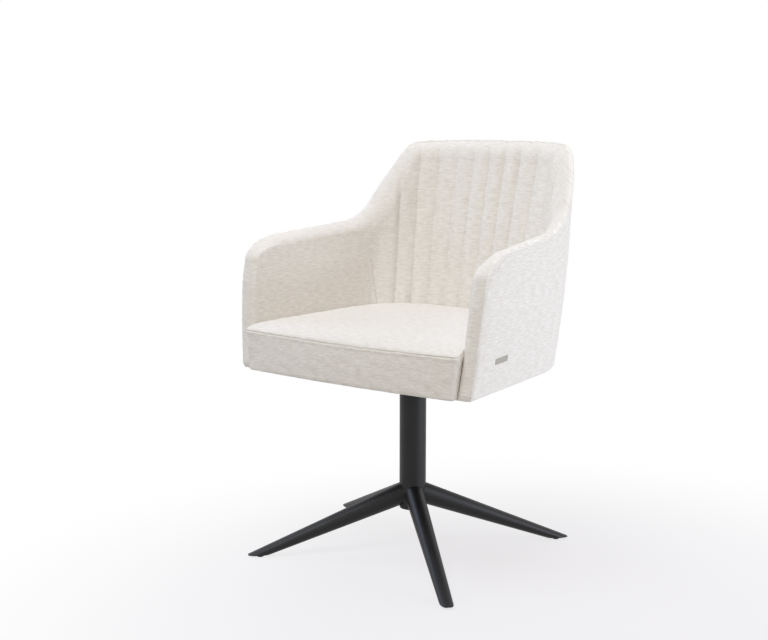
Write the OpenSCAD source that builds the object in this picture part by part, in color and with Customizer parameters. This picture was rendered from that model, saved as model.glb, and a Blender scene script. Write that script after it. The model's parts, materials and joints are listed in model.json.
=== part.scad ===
// Upholstered swivel chair: a tub shell with arms and a channelled back, carried by a column
// on four tapered oval legs. Millimetres, Z up. The origin is the point on the floor under
// the swivel axis. The chair faces -Y. Left and right are as seen from the front: left is -X.

/* [Base] */
// Distance from the swivel axis to the tip of each leg
base_reach = 356; // [300:1:400]
// Front left leg, degrees round from straight ahead
front_left_angle = 45.5; // [40:0.5:50]
// Front right leg, degrees round from straight ahead
front_right_angle = 47; // [40:0.5:50]
// Rear right leg, degrees round from straight ahead
rear_right_angle = 140; // [130:0.5:150]
// Rear left leg, degrees round from straight ahead
rear_left_angle = 117.5; // [112:0.5:125]
// Width of a leg at the column
leg_root_w = 42; // [34:0.5:46]
// Height of a leg at the column
leg_root_h = 51; // [40:0.5:56]
// Width of a leg at its tip
leg_tip_w = 26; // [20:0.5:32]
// Height of a leg at its tip, before its sole is cut
leg_tip_h = 18; // [14:0.5:24]
// Wall of a leg
leg_wall = 2; // [1.5:0.1:3]
// Height of a leg's centre line at the swivel axis
leg_root_z = 137; // [120:1:150]
// Height of the flat sole above the floor
sole_z = 4.5; // [3:0.5:9]
// Distance of a glide's centre from the tip of its leg
glide_inset = 26; // [20:1:36]
// Diameter of a glide
glide_d = 16; // [12:0.5:24]
// Diameter of a glide's stem
glide_stem_d = 8; // [5:0.5:10]
// Length of a glide's stem above the sole
glide_stem_l = 7; // [5:0.5:9]

/* [Column] */
// Outside diameter of the column tube
column_d = 57; // [50:1:64]
// Wall of the column tube
column_wall = 2; // [1.5:0.1:3]
// Height of the column's lower end
column_foot_z = 99; // [90:1:108]
// Thickness of the plug that closes the column's lower end
plug_t = 10; // [5:1:20]

/* [Swivel bearing] */
// Diameter of the spindle
spindle_d = 25; // [20:1:28]
// Length of the spindle below the swivel plate
spindle_l = 172; // [140:1:220]
// Height of the collar between plate and upper race
collar_h = 4; // [2:0.5:8]
// Diameter of the collar
collar_d = 40; // [34:1:46]
// Diameter of the bearing balls
ball_d = 5.5; // [4.5:0.1:6.5]
// Number of bearing balls
ball_count = 14; // [8:1:16]
// Radius of the circle that the balls run on
ball_circle_r = 19.5; // [19:0.5:20.5]
// Thickness of a bearing race
race_t = 2.5; // [2:0.1:4]
// Outside diameter of the bearing races
race_d = 52; // [50:1:54]
// Depth of the groove in a race
groove_depth = 0.8; // [0.5:0.1:1]
// Thickness of the ball cage
cage_t = 2.2; // [1:0.1:2.4]
// Height of the upper bush inside the tube
upper_bush_h = 32; // [20:1:45]
// Thickness of the upper bush's flange
bush_flange_t = 3; // [2:0.5:5]
// Height of the lower bush
lower_bush_h = 30; // [20:1:40]
// Distance from the spindle's lower end to the retaining ring's groove
ring_from_end = 8; // [5:0.5:14]
// Thickness of the retaining ring
ring_t = 1.8; // [1.2:0.1:2.5]
// Depth of the retaining ring's groove in the spindle
ring_groove = 1.2; // [0.8:0.1:2]
// Thickness of the washer over the retaining ring
washer_t = 1.6; // [1:0.1:3]
// Radial running clearance of the spindle and the balls
run_gap = 0.05; // [0.02:0.01:0.08]
// Gap between faces that turn against each other
face_gap = 0.2; // [0.1:0.05:0.4]

/* [Seat fixing] */
// Side of the square swivel plate
plate_side = 180; // [160:1:220]
// Thickness of the swivel plate
plate_t = 6; // [4:0.5:8]
// Corner radius of the swivel plate
plate_corner_r = 22; // [10:1:30]
// Distance between the plate's screws, both ways
screw_pitch = 140; // [120:1:144]
// Diameter of the plate screws
screw_d = 8; // [6:1:8]
// Diameter of the screw holes in the plate
plate_hole_d = 9; // [8.5:0.5:10]
// Diameter of a screw's washer
screw_washer_d = 20; // [16:1:24]
// Thickness of a screw's washer
screw_washer_t = 1.6; // [1:0.1:2.5]
// Height of a screw's head
screw_head_h = 5.3; // [4:0.1:6.5]
// Width across flats of a screw's head
screw_head_af = 13; // [10:1:13]
// Diameter of a tee nut's barrel
nut_barrel_d = 11; // [10:0.5:13]
// Diameter of a tee nut's flange
nut_flange_d = 24; // [18:1:28]
// Thickness of a tee nut's flange
nut_flange_t = 1.5; // [1:0.1:2.5]

/* [Seat] */
// Height of the upholstery's lower edge above the floor
underside_z = 405; // [390:1:430]
// Set-up of the seat board above the upholstery's lower edge
board_lift = 3; // [2:0.5:6]
// Thickness of the seat board
board_t = 15; // [12:0.5:18]
// Height of the front seam of the cushion above the upholstery's lower edge
seat_seam_h = 80; // [70:1:88]
// Height of the cushion's side edges above the upholstery's lower edge
seat_edge_h = 98; // [92:1:106]
// Height of the cushion's crown above its side edges
seat_crown = 8; // [4:0.5:14]
// Share of the arms' flare that the cushion's sides don't follow
seat_side_draw = 0.5; // [0:0.05:0.8]
// How far the cushion's front stands ahead of the swivel axis
seat_reach = 245; // [238:1:262]
// How far the front bows out between its corners
seat_bow = 14; // [4:1:18]
// Radius of the cushion's upright front corners
seat_corner_r = 14; // [8:1:22]
// Depth of the padding in front of the seat board
seat_front_pad = 17; // [12:1:22]
// Gap between the cushion and the pads beside it
seat_gap = 0.8; // [0.5:0.1:2]

/* [Shell] */
// Half the width across the arms at their lower front corners
arm_foot_half = 291; // [280:1:300]
// How much each arm flares out from bottom to top
arm_flare = 16.5; // [8:0.5:24]
// How far the arms' lower front corners stand ahead of the swivel axis
arm_reach = 218.5; // [212:0.5:224]
// How far the arms' front edges rake back from bottom to top
arm_rake = 27; // [15:1:40]
// Height of the arms at the front above the upholstery's lower edge
arm_h = 270; // [250:1:290]
// How much the arms rise towards the back
arm_rise = 27; // [10:1:40]
// Height of the rounded upper front corner of an arm
arm_corner_h = 45; // [30:1:60]
// Length of the rounded upper front corner of an arm
arm_corner_l = 85; // [50:1:110]
// Height of the back above the upholstery's lower edge
back_h = 472; // [430:1:500]
// How much the top edge of the back falls from its middle to its corners
back_top_fall = 5; // [2:0.5:12]
// Distance of the back's foot behind the swivel axis
back_foot_y = 265; // [255:1:275]
// How far the back leans from bottom to top
back_lean = 70; // [50:1:90]
// Radius of the shell's rear corners at the bottom
corner_foot_r = 172; // [165:1:178]
// Radius of the shell's rear corners above the seat
corner_top_r = 157; // [154:1:166]
// Taper of the sides at the bottom, in degrees
side_taper_foot = 5.2; // [3:0.1:6]
// Taper of the sides above the arms, in degrees
side_taper_top = 7.1; // [6:0.1:8]
// Thickness of the outside cover with its wadding
cover_t = 7; // [5:0.5:9]
// Thickness of the moulded shell board
shell_board_t = 9; // [7:0.5:10]
// Thickness of the whole wall at the arms
arm_wall = 36; // [34:0.5:40]
// Thickness of the whole wall at the foot of the back
back_wall_foot = 66; // [60:1:70]
// Thickness of the whole wall at the top of the back
back_wall_top = 50; // [46:1:56]
// Swell of the arm pads between their edges
arm_crown = 4; // [2:0.5:6]
// Depth of the edge band at the arms
band_arm_depth = 14; // [12.5:0.5:18]
// Depth of the edge band at the top of the back
band_back_depth = 26; // [20:1:32]
// Radius of the edge band's long edges at the arms
band_arm_r = 7; // [5:0.5:9]
// Radius of the edge band's long edges at the top of the back
band_back_r = 17; // [12:0.5:18]
// Radius of the lower front corner of an arm
band_foot_r = 12; // [8:0.5:12]

/* [Channels] */
// Width of one sewn channel at the top of the back
channel_w = 41.5; // [38:0.5:44]
// Number of sewn channels, an even number
channel_count = 10; // [8:2:10]
// Share of its width that a channel loses down to the underside of the shell
channel_fan = 0.12; // [0:0.01:0.2]
// Depth of a seam below the crests of the channels
channel_depth = 6; // [3:0.5:8]
// Height over which the channels fade out below the top band
channel_fade = 26; // [15:1:40]

/* [Side tag] */
// Length of the blank tag
tag_l = 52; // [30:1:60]
// Height of the blank tag
tag_h = 11; // [8:1:16]
// Thickness of the blank tag
tag_t = 1.2; // [0.8:0.1:2]
// Distance of the tag's centre behind the arm's front edge
tag_back = 110; // [60:1:140]
// Height of the tag's centre above the upholstery's lower edge
tag_up = 65; // [40:1:90]

/* [Hidden] */
$fn = 64;

// Clearances inside the upholstery and in press fits
layer_gap = 0.3;
fit_gap = 0.02;
cut = 1;

// Heights of the swivel stack, worked down from the seat board
board_z = underside_z + board_lift;
board_top_z = board_z + board_t;
plate_z = board_z - plate_t;
upper_race_z = plate_z - collar_h - race_t;
ball_z = upper_race_z + groove_depth - ball_d / 2 - run_gap;
lower_race_top_z = ball_z - ball_d / 2 + groove_depth - run_gap;
lower_race_z = lower_race_top_z - race_t;
column_top_z = lower_race_z - bush_flange_t;
spindle_foot_z = plate_z - spindle_l;
ring_z = spindle_foot_z + ring_from_end;
washer_z = ring_z + ring_t;
lower_bush_z = washer_z + washer_t + face_gap;
column_bore_r = column_d / 2 - column_wall;
spindle_r = spindle_d / 2;

// Directions of the legs as plan angles from +X
front_left_dir = -90 - front_left_angle;
front_right_dir = -90 + front_right_angle;
rear_right_dir = -90 + rear_right_angle;
rear_left_dir = -90 - rear_left_angle;

function mix(a, b, k) = a + (b - a) * k;
function clamp01(x) = max(0, min(1, x));
function ease01(x) = let (c = clamp01(x)) c * c * (3 - 2 * c);

// Column and its plug

module column_tube() {
    color("#2f2c2e")
    translate([0, 0, column_foot_z])
    difference() {
        cylinder(d = column_d, h = column_top_z - column_foot_z);
        translate([0, 0, -cut])
            cylinder(r = column_bore_r, h = column_top_z - column_foot_z + 2 * cut);
    }
}

plug_lip_t = 2;

module column_plug() {
    color("#1c1b1c")
    translate([0, 0, column_foot_z]) {
        translate([0, 0, -plug_lip_t])
            cylinder(d = column_d - 1, h = plug_lip_t);
        cylinder(r = column_bore_r - fit_gap, h = plug_t);
    }
}

// Legs: tapered oval tubes that run out in a wedge where the sole is cut flat. They are mitred
// to the column and to their neighbours.

leg_nose_l = 2.5;
leg_disc_t = 0.1;
leg_runout = base_reach + leg_nose_l;
leg_loft_l = leg_runout + 12;
leg_tip_z = sole_z - leg_tip_h / 2;

// A thin upright oval disc that a leg is lofted through
module leg_disc(along, w, h, z) {
    translate([along, 0, z])
    rotate([90, 0, 90])
    linear_extrude(leg_disc_t)
    scale([w, h])
    circle(d = 1, $fn = 32);
}

// Centre height of a leg at a distance from the axis: its top line meets the sole at the runout
function leg_z(along) = mix(leg_root_z, leg_tip_z, along / leg_runout);
function leg_w(along) = mix(leg_root_w, leg_tip_w, along / leg_runout);
function leg_h(along) = mix(leg_root_h, leg_tip_h, along / leg_runout);

module leg_loft(inset) {
    hull() {
        leg_disc(0, leg_root_w - 2 * inset, leg_root_h - 2 * inset, leg_root_z);
        leg_disc(leg_loft_l, leg_w(leg_loft_l) - 2 * inset, leg_h(leg_loft_l) - 2 * inset,
                 leg_z(leg_loft_l));
    }
}

// Half the plan angle between a leg and its neighbours bounds the leg where they meet
module leg_side_cut(half_angle, side) {
    rotate([0, 0, side * half_angle])
    translate([-base_reach, side > 0 ? 0 : -base_reach, -cut])
        cube([2 * base_reach, base_reach, 2 * leg_root_z]);
}

module leg(dir, half_after, half_before) {
    stem_hole_h = sole_z + glide_stem_l + cut;
    color("#2f2c2e")
    rotate([0, 0, dir])
    difference() {
        leg_loft(0);
        difference() {
            leg_loft(leg_wall);
            translate([0, -base_reach / 2, -base_reach])
                cube([2 * base_reach, base_reach, base_reach + sole_z + leg_wall]);
        }
        translate([0, -base_reach / 2, -base_reach])
            cube([2 * base_reach, base_reach, base_reach + sole_z]);
        translate([base_reach, -base_reach / 2, 0])
            cube([base_reach, base_reach, base_reach]);
        cylinder(d = column_d, h = 2 * leg_root_z);
        leg_side_cut(half_after, 1);
        leg_side_cut(half_before, -1);
        translate([base_reach - glide_inset, 0, -cut])
            cylinder(d = glide_stem_d, h = stem_hole_h);
    }
}

front_half_angle = (front_left_angle + front_right_angle) / 2;
right_half_angle = (rear_right_angle - front_right_angle) / 2;
rear_half_angle = (360 - rear_right_angle - rear_left_angle) / 2;
left_half_angle = (rear_left_angle - front_left_angle) / 2;

module leg_front_left() {
    leg(front_left_dir, front_half_angle, left_half_angle);
}

module leg_front_right() {
    leg(front_right_dir, right_half_angle, front_half_angle);
}

module leg_rear_right() {
    leg(rear_right_dir, rear_half_angle, right_half_angle);
}

module leg_rear_left() {
    leg(rear_left_dir, left_half_angle, rear_half_angle);
}

// Glides: a turned foot with a stem pushed into the sole

glide_edge = 1.5;

module glide(dir) {
    foot_r = glide_d / 2;
    stem_r = glide_stem_d / 2 - fit_gap;
    color("#161516")
    rotate([0, 0, dir])
    translate([base_reach - glide_inset, 0, 0])
    rotate_extrude()
    polygon([
        [0, 0],
        [foot_r - glide_edge, 0],
        [foot_r, glide_edge],
        [foot_r, sole_z],
        [stem_r, sole_z],
        [stem_r, sole_z + glide_stem_l - glide_edge],
        [stem_r - glide_edge, sole_z + glide_stem_l],
        [0, sole_z + glide_stem_l]
    ]);
}

module glide_front_left() {
    glide(front_left_dir);
}

module glide_front_right() {
    glide(front_right_dir);
}

module glide_rear_right() {
    glide(rear_right_dir);
}

module glide_rear_left() {
    glide(rear_left_dir);
}

// Bushes and thrust bearing

module upper_bush() {
    color("#8d8a84")
    difference() {
        union() {
            translate([0, 0, column_top_z - upper_bush_h])
                cylinder(r = column_bore_r - fit_gap, h = upper_bush_h);
            translate([0, 0, column_top_z])
                cylinder(d = column_d, h = bush_flange_t);
        }
        translate([0, 0, column_top_z - upper_bush_h - cut])
            cylinder(r = spindle_r + run_gap, h = upper_bush_h + bush_flange_t + 2 * cut);
    }
}

module lower_bush() {
    color("#8d8a84")
    translate([0, 0, lower_bush_z])
    difference() {
        cylinder(r = column_bore_r - fit_gap, h = lower_bush_h);
        translate([0, 0, -cut])
            cylinder(r = spindle_r + run_gap, h = lower_bush_h + 2 * cut);
    }
}

race_bore_gap = 0.5;

module race(z) {
    color("#b4b6b8")
    difference() {
        translate([0, 0, z])
            cylinder(d = race_d, h = race_t);
        translate([0, 0, z - cut])
            cylinder(r = spindle_r + race_bore_gap, h = race_t + 2 * cut);
        translate([0, 0, ball_z])
            rotate_extrude()
            translate([ball_circle_r, 0])
            circle(r = ball_d / 2 + run_gap);
    }
}

module lower_race() {
    race(lower_race_z);
}

module upper_race() {
    race(upper_race_z);
}

cage_rim = 4.2;
cage_pocket_gap = 0.15;

module ball_cage() {
    color("#c9a45a")
    translate([0, 0, ball_z - cage_t / 2])
    difference() {
        cylinder(r = ball_circle_r + cage_rim, h = cage_t);
        translate([0, 0, -cut])
            cylinder(r = ball_circle_r - cage_rim, h = cage_t + 2 * cut);
        for (i = [0 : ball_count - 1])
            rotate([0, 0, i * 360 / ball_count])
            translate([ball_circle_r, 0, -cut])
                cylinder(r = ball_d / 2 + cage_pocket_gap, h = cage_t + 2 * cut);
    }
}

module bearing_balls() {
    color("#d5d7d9")
    for (i = [0 : ball_count - 1])
        rotate([0, 0, i * 360 / ball_count])
        translate([ball_circle_r, 0, ball_z])
            sphere(d = ball_d);
}

// Spindle, its washer and retaining ring

spindle_chamfer = 1.5;

module spindle() {
    groove_r = spindle_r - ring_groove;
    color("#9a9b9d")
    rotate_extrude()
    polygon([
        [0, spindle_foot_z],
        [spindle_r - spindle_chamfer, spindle_foot_z],
        [spindle_r, spindle_foot_z + spindle_chamfer],
        [spindle_r, ring_z],
        [groove_r, ring_z],
        [groove_r, ring_z + ring_t],
        [spindle_r, ring_z + ring_t],
        [spindle_r, plate_z - collar_h],
        [collar_d / 2, plate_z - collar_h],
        [collar_d / 2, plate_z],
        [0, plate_z]
    ]);
}

washer_rim = 7;

module spindle_washer() {
    color("#b4b6b8")
    translate([0, 0, washer_z])
    difference() {
        cylinder(r = spindle_r + washer_rim, h = washer_t);
        translate([0, 0, -cut])
            cylinder(r = spindle_r + fit_gap, h = washer_t + 2 * cut);
    }
}

ring_rim = 3.5;
ring_mouth = 16;
ring_side_gap = 0.05;

module retaining_ring() {
    inner_r = spindle_r - ring_groove + fit_gap;
    outer_r = spindle_r + ring_rim;
    color("#3a3b3d")
    translate([0, 0, ring_z + ring_side_gap])
    difference() {
        cylinder(r = outer_r, h = ring_t - 2 * ring_side_gap);
        translate([0, 0, -cut])
            cylinder(r = inner_r, h = ring_t + 2 * cut);
        translate([0, -ring_mouth / 2, -cut])
            cube([outer_r + cut, ring_mouth, ring_t + 2 * cut]);
    }
}

// Swivel plate and its fixings

module at_screws() {
    for (x = [-1, 1], y = [-1, 1])
        translate([x * screw_pitch / 2, y * screw_pitch / 2, 0])
            children();
}

module plate_outline(side, r) {
    half = side / 2 - r;
    square([side, 2 * half], center = true);
    square([2 * half, side], center = true);
    for (x = [-1, 1], y = [-1, 1])
        translate([x * half, y * half])
            circle(r = r);
}

module swivel_plate() {
    color("#2f2c2e")
    translate([0, 0, plate_z])
    difference() {
        linear_extrude(plate_t)
            plate_outline(plate_side, plate_corner_r);
        at_screws()
            translate([0, 0, -cut])
            cylinder(d = plate_hole_d, h = plate_t + 2 * cut);
    }
}

// The screw's end stays below the top of the tee nut
screw_end_z = board_top_z - nut_flange_t - 2;
screw_hex_d = screw_head_af / cos(30);

module plate_screws() {
    head_z = plate_z - screw_washer_t - screw_head_h;
    color("#8a8c8f")
    at_screws() {
        translate([0, 0, head_z])
            cylinder(d = screw_hex_d, h = screw_head_h, $fn = 6);
        translate([0, 0, head_z + screw_head_h])
            cylinder(d = screw_d - 2 * fit_gap, h = screw_end_z - head_z - screw_head_h);
    }
}

module plate_washers() {
    color("#a9abad")
    at_screws()
        translate([0, 0, plate_z - screw_washer_t])
        difference() {
            cylinder(d = screw_washer_d, h = screw_washer_t);
            translate([0, 0, -cut])
                cylinder(d = plate_hole_d - 2 * layer_gap, h = screw_washer_t + 2 * cut);
        }
}

module tee_nuts() {
    color("#a9abad")
    at_screws()
        difference() {
            union() {
                translate([0, 0, board_z])
                    cylinder(d = nut_barrel_d, h = board_t - cut / 2);
                translate([0, 0, board_top_z - nut_flange_t])
                    cylinder(d = nut_flange_d, h = nut_flange_t);
            }
            translate([0, 0, board_z - cut])
                cylinder(d = screw_d, h = board_t + 2 * cut);
        }
}

// Plan of the shell. A station t runs along one half from the arm's front edge (0) through
// the end of the straight side and the end of the round corner to the middle of the back (1).

side_share = 0.42;
corner_share = 0.86;
settle_share = 0.6;

function rise(z) = (z - underside_z) / (back_h + 3);
function front_half(z) =
    arm_foot_half + arm_flare * (1 - pow(1 - clamp01((z - underside_z) / arm_h), 2));
function front_y(z) = -arm_reach + arm_rake * (z - underside_z) / arm_h;
function rear_y(z) = back_foot_y + back_lean * rise(z);
function settled(z) = 1 - pow(1 - clamp01(rise(z) / settle_share), 2);
function taper(z) = mix(side_taper_foot, side_taper_top, settled(z));
function corner_r(z) = mix(corner_foot_r, corner_top_r, settled(z));
function corner_y(z) = rear_y(z) - corner_r(z);
function corner_x(z) =
    front_half(z) - tan(taper(z)) * (corner_y(z) - front_y(z)) - corner_r(z) / cos(taper(z));

// Turn of the outward normal from +X at a station
function turn_at(z, t) =
    t <= side_share ? taper(z)
    : mix(taper(z), 90, clamp01((t - side_share) / (corner_share - side_share)));

function outer_xy(z, t) =
    let (
        a = taper(z),
        r = corner_r(z),
        g = turn_at(z, t),
        start = [corner_x(z) + r * cos(a), corner_y(z) + r * sin(a)]
    )
    t <= side_share
        ? [mix(front_half(z), start.x, t / side_share), mix(front_y(z), start.y, t / side_share)]
    : t <= corner_share
        ? [corner_x(z) + r * cos(g), corner_y(z) + r * sin(g)]
        : [corner_x(z) * (1 - t) / (1 - corner_share), rear_y(z)];

// A point of the wall at a depth below the outer face, on the side of the given sign
function wall_pt(z, t, depth, side) =
    let (p = outer_xy(z, t), g = turn_at(z, t))
    [side * (p.x - depth * cos(g)), p.y - depth * sin(g), z];

// Length of the straight side near the top of the arms
side_ref_z = underside_z + arm_h;
side_len = norm(outer_xy(side_ref_z, side_share) - outer_xy(side_ref_z, 0));
function t_of(len) = side_share * len / side_len;

// Thickness of the wall: thin along the arms, thicker round to the back
wall_from = 0.34;
wall_to = 0.7;
function wall_t(z, t) =
    mix(arm_wall, mix(back_wall_foot, back_wall_top, clamp01(rise(z))),
        ease01((t - wall_from) / (wall_to - wall_from)));

// Upper edge: the arm line climbs into the wing and on to the top of the back
wing_from = 0.34;
wing_to = 0.66;
wing_ease = 0.085;
wing_gain = 1 / (wing_to - wing_from - wing_ease);
wing_slope_share = 0.67;

function wing_share(t) =
    let (a = t - wing_from, b = wing_to - t)
    a <= 0 ? 0
    : b <= 0 ? 1
    : a < wing_ease ? wing_gain * a * a / (2 * wing_ease)
    : b < wing_ease ? 1 - wing_gain * b * b / (2 * wing_ease)
    : wing_gain * (a - wing_ease / 2);
function wing_steep(t) =
    clamp01((t - wing_from) / wing_ease) * clamp01((wing_to - t) / wing_ease);

function arm_line(t) = underside_z + arm_h + arm_rise * min(t, side_share) / side_share;
function top_line(t) =
    underside_z + back_h - back_top_fall * pow(clamp01((1 - t) / (1 - wing_to)), 2);

// A border station is [corner angle, t]: the angle runs from 0 to 90 round the upper front
// corner of the arm, and from there on t counts. inset is the depth below the border.
corner_t = t_of(arm_corner_l);
function border_t(st, inset) =
    st[0] < 90 ? let (te = t_of(inset)) te + (corner_t - te) * (1 - cos(st[0])) : st[1];
function border_z(st, inset) =
    let (
        t = border_t(st, inset),
        arm = arm_line(t) - inset - (arm_corner_h - inset) * (1 - sin(st[0])),
        steep = wing_slope_share * wing_steep(t)
    )
    mix(arm, top_line(t) - inset, wing_share(t)) - inset * steep;

function band_depth(st) =
    st[0] < 90 ? band_arm_depth : mix(band_arm_depth, band_back_depth, wing_share(st[1]));
function band_r(st) =
    st[0] < 90 ? band_arm_r : mix(band_arm_r, band_back_r, wing_share(st[1]));

// Stations of one half, from the front of the arm to the middle of the back
corner_steps = 6;
arm_steps = 4;
wing_steps = 13;
top_steps = 7;
half_stations = concat(
    [for (i = [0 : corner_steps - 1]) [90 * i / corner_steps, 0]],
    [for (i = [0 : arm_steps]) [90, mix(corner_t, wing_from, i / arm_steps)]],
    [for (i = [1 : wing_steps]) [90, mix(wing_from, wing_to, i / wing_steps)]],
    [for (i = [1 : top_steps]) [90, mix(wing_to, corner_share, i / top_steps)]],
    [[90, 1]]
);

// Both halves as [side, station], from the left arm round the back to the right arm
last_station = len(half_stations) - 1;
all_stations = concat(
    [for (st = half_stations) [-1, st]],
    [for (i = [last_station - 1 : -1 : 0]) [1, half_stations[i]]]
);

// A closed slab between two grids of points of the same size
function grid_faces(n, m, base, flip) = [
    for (i = [0 : n - 2], j = [0 : m - 2])
        let (a = base + i * m + j, b = a + m, c = b + 1, d = a + 1)
        for (f = flip ? [[a, c, b], [a, d, c]] : [[a, b, c], [a, c, d]]) f
];
function strip_faces(front, back) = [
    for (k = [0 : len(front) - 2])
        for (f = [[front[k], back[k], back[k + 1]], [front[k], back[k + 1], front[k + 1]]]) f
];

module slab(outer, inner) {
    n = len(outer);
    m = len(outer[0]);
    half = n * m;
    points = concat([for (col = outer) each col], [for (col = inner) each col]);
    low = [for (i = [0 : n - 1]) i * m];
    high = [for (i = [n - 1 : -1 : 0]) i * m + m - 1];
    left = [for (j = [m - 1 : -1 : 0]) j];
    right = [for (j = [0 : m - 1]) (n - 1) * m + j];
    rim = concat(low, [for (j = [1 : m - 1]) right[j]], [for (i = [1 : n - 1]) high[i]],
                 [for (j = [1 : m - 1]) left[j]]);
    polyhedron(
        points = points,
        faces = concat(
            grid_faces(n, m, 0, false),
            grid_faces(n, m, half, true),
            strip_faces(rim, [for (k = rim) k + half])
        ),
        convexity = 10
    );
}

// Depth at which the layers of the wall end below the edge band, freer where it climbs
climb_gap = 1;
function layer_inset(st) =
    band_depth(st) + layer_gap + (st[0] < 90 ? 0 : climb_gap * wing_climb(st[1]));
function wing_climb(t) = ease01((t - wing_from) / 0.05) * ease01((wing_to - t) / 0.05);

// Columns of one layer of the wall, between two depths, below the edge band
function layer_column(entry, z_low, rows, depth) =
    let (
        side = entry[0],
        st = entry[1],
        inset = layer_inset(st),
        t = border_t(st, inset),
        z_high = border_z(st, inset)
    )
    [for (j = [0 : rows]) let (z = mix(z_low, z_high, j / rows)) wall_pt(z, t, depth, side)];

// Shell board: one moulded plywood tub between the cover and the pads

cover_gap_depth = cover_t + layer_gap;
board_back_depth = cover_gap_depth + shell_board_t;
pad_gap = 0.5;
pad_depth = board_back_depth + pad_gap;
shell_board_rows = 8;

module shell_board() {
    color("#b08d5c")
    slab(
        [for (e = all_stations) layer_column(e, board_z, shell_board_rows, cover_gap_depth)],
        [for (e = all_stations) layer_column(e, board_z, shell_board_rows, board_back_depth)]
    );
}

// Outside cover: the fabric and its wadding, rounded under at its lower edge

cover_rows = [0, 0.012, 0.03, 0.15, 0.32, 0.5, 0.68, 0.85, 1];
cover_hem_r = 6;

function hem_depth(z) =
    let (up = min(cover_hem_r, z - underside_z)) cover_hem_r - sqrt(
        max(0, cover_hem_r * cover_hem_r - pow(cover_hem_r - up, 2)));

function cover_column(entry, depth, hem) =
    let (
        st = entry[1],
        inset = layer_inset(st),
        t = border_t(st, inset),
        z_high = border_z(st, inset)
    )
    [for (v = cover_rows)
        let (z = mix(underside_z, z_high, v))
        wall_pt(z, t, depth + hem * hem_depth(z), entry[0])];

module outer_cover() {
    color("#e9e6e1")
    slab(
        [for (e = all_stations) cover_column(e, 0, 1)],
        [for (e = all_stations) cover_column(e, cover_t, 0)]
    );
}

// Edge band: the boxing that runs up the arm fronts, along the arms and over the back

band_arc_steps = 3;
band_front_rows = 5;
band_foot_rows = 3;

// Outline of the band across the wall, as [depth below the outer face, inset from the border]
function band_section(thick, depth, r) = concat(
    [[0, depth]],
    [for (i = [0 : band_arc_steps])
        let (a = 90 * i / band_arc_steps) [r * (1 - cos(a)), r * (1 - sin(a))]],
    [for (i = [band_arc_steps : -1 : 0])
        let (a = 90 * i / band_arc_steps) [thick - r * (1 - cos(a)), r * (1 - sin(a))]],
    [[thick, depth]]
);

// A ring over the border at a station
function band_ring(side, st) =
    let (depth = band_depth(st), thick = wall_t(border_z(st, 0), border_t(st, 0)))
    [for (p = band_section(thick, depth, band_r(st)))
        wall_pt(border_z(st, p[1]), border_t(st, p[1]), p[0], side)];

// A ring across the arm's front edge at a height, drawn back at the rounded lower corner
function foot_back(z) =
    let (up = min(band_foot_r, z - underside_z)) band_foot_r - sqrt(
        max(0, band_foot_r * band_foot_r - pow(band_foot_r - up, 2)));
function front_ring(side, z) =
    let (back = foot_back(z), depth = band_arm_depth - back, r = min(band_arm_r, depth - 1))
    [for (p = band_section(arm_wall, depth, r))
        wall_pt(z, t_of(back + p[1]), p[0], side)];

front_top_z = border_z([0, 0], 0);
front_heights = concat(
    [for (i = [0 : band_foot_rows]) underside_z + band_foot_r * (1 - cos(90 * i / band_foot_rows))],
    [for (i = [1 : band_front_rows - 1])
        mix(underside_z + band_foot_r, front_top_z, i / band_front_rows)]
);

// A closed tube through rings of points of the same count, with a tip inside each end ring
module ring_loft(rings, low_tip, high_tip) {
    n = len(rings);
    m = len(rings[0]);
    last = (n - 1) * m;
    polyhedron(
        points = concat([for (ring = rings) each ring], [low_tip, high_tip]),
        faces = concat(
            [for (i = [0 : n - 2], j = [0 : m - 1])
                let (a = i * m + j, b = i * m + (j + 1) % m, c = b + m, d = a + m)
                for (f = [[a, c, b], [a, d, c]]) f],
            [for (j = [0 : m - 1]) [j, (j + 1) % m, n * m]],
            [for (j = [0 : m - 1]) [last + (j + 1) % m, last + j, n * m + 1]]
        ),
        convexity = 10
    );
}

// Middle of the band's lowest front ring
function band_tip(side) =
    wall_pt(underside_z, t_of((foot_back(underside_z) + band_arm_depth) / 2), arm_wall / 2, side);

module edge_band() {
    up = [for (z = front_heights) z];
    down = [for (i = [len(front_heights) - 1 : -1 : 0]) front_heights[i]];
    color("#e6e2dc")
    ring_loft(concat(
        [for (z = up) front_ring(-1, z)],
        [for (e = all_stations) band_ring(e[0], e[1])],
        [for (z = down) front_ring(1, z)]
    ), band_tip(-1), band_tip(1));
}

// Arm pads: foam and fabric on the inside of the arms, from the front band to the back pad

pad_foot_z = board_top_z + layer_gap;
seat_edge_z = underside_z + seat_edge_h;
pad_split = 0.44;
pad_split_gap = 0.001;
arm_pad_rows = 9;
arm_pad_stations = [for (st = half_stations) if (st[0] < 90 || st[1] < pad_split - 0.01) st];
arm_pad_columns = concat(arm_pad_stations, [[90, pad_split - pad_split_gap]]);
arm_pad_last = len(arm_pad_columns) - 1;

// The swell of an arm pad, nothing at its edges and nothing beside the cushion
function arm_swell(i, z, z_high) =
    let (up = clamp01((z - seat_edge_z) / (z_high - seat_edge_z)))
    arm_crown * sin(180 * up) * sin(180 * i / arm_pad_last);

function arm_pad_column(i, side, depth_outer) =
    let (
        st = arm_pad_columns[i],
        inset = layer_inset(st),
        t = border_t(st, inset),
        z_high = border_z(st, inset)
    )
    [for (j = [0 : arm_pad_rows])
        let (z = mix(pad_foot_z, z_high, j / arm_pad_rows))
        wall_pt(z, t, depth_outer ? pad_depth : wall_t(z, t) + arm_swell(i, z, z_high), side)];

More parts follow.
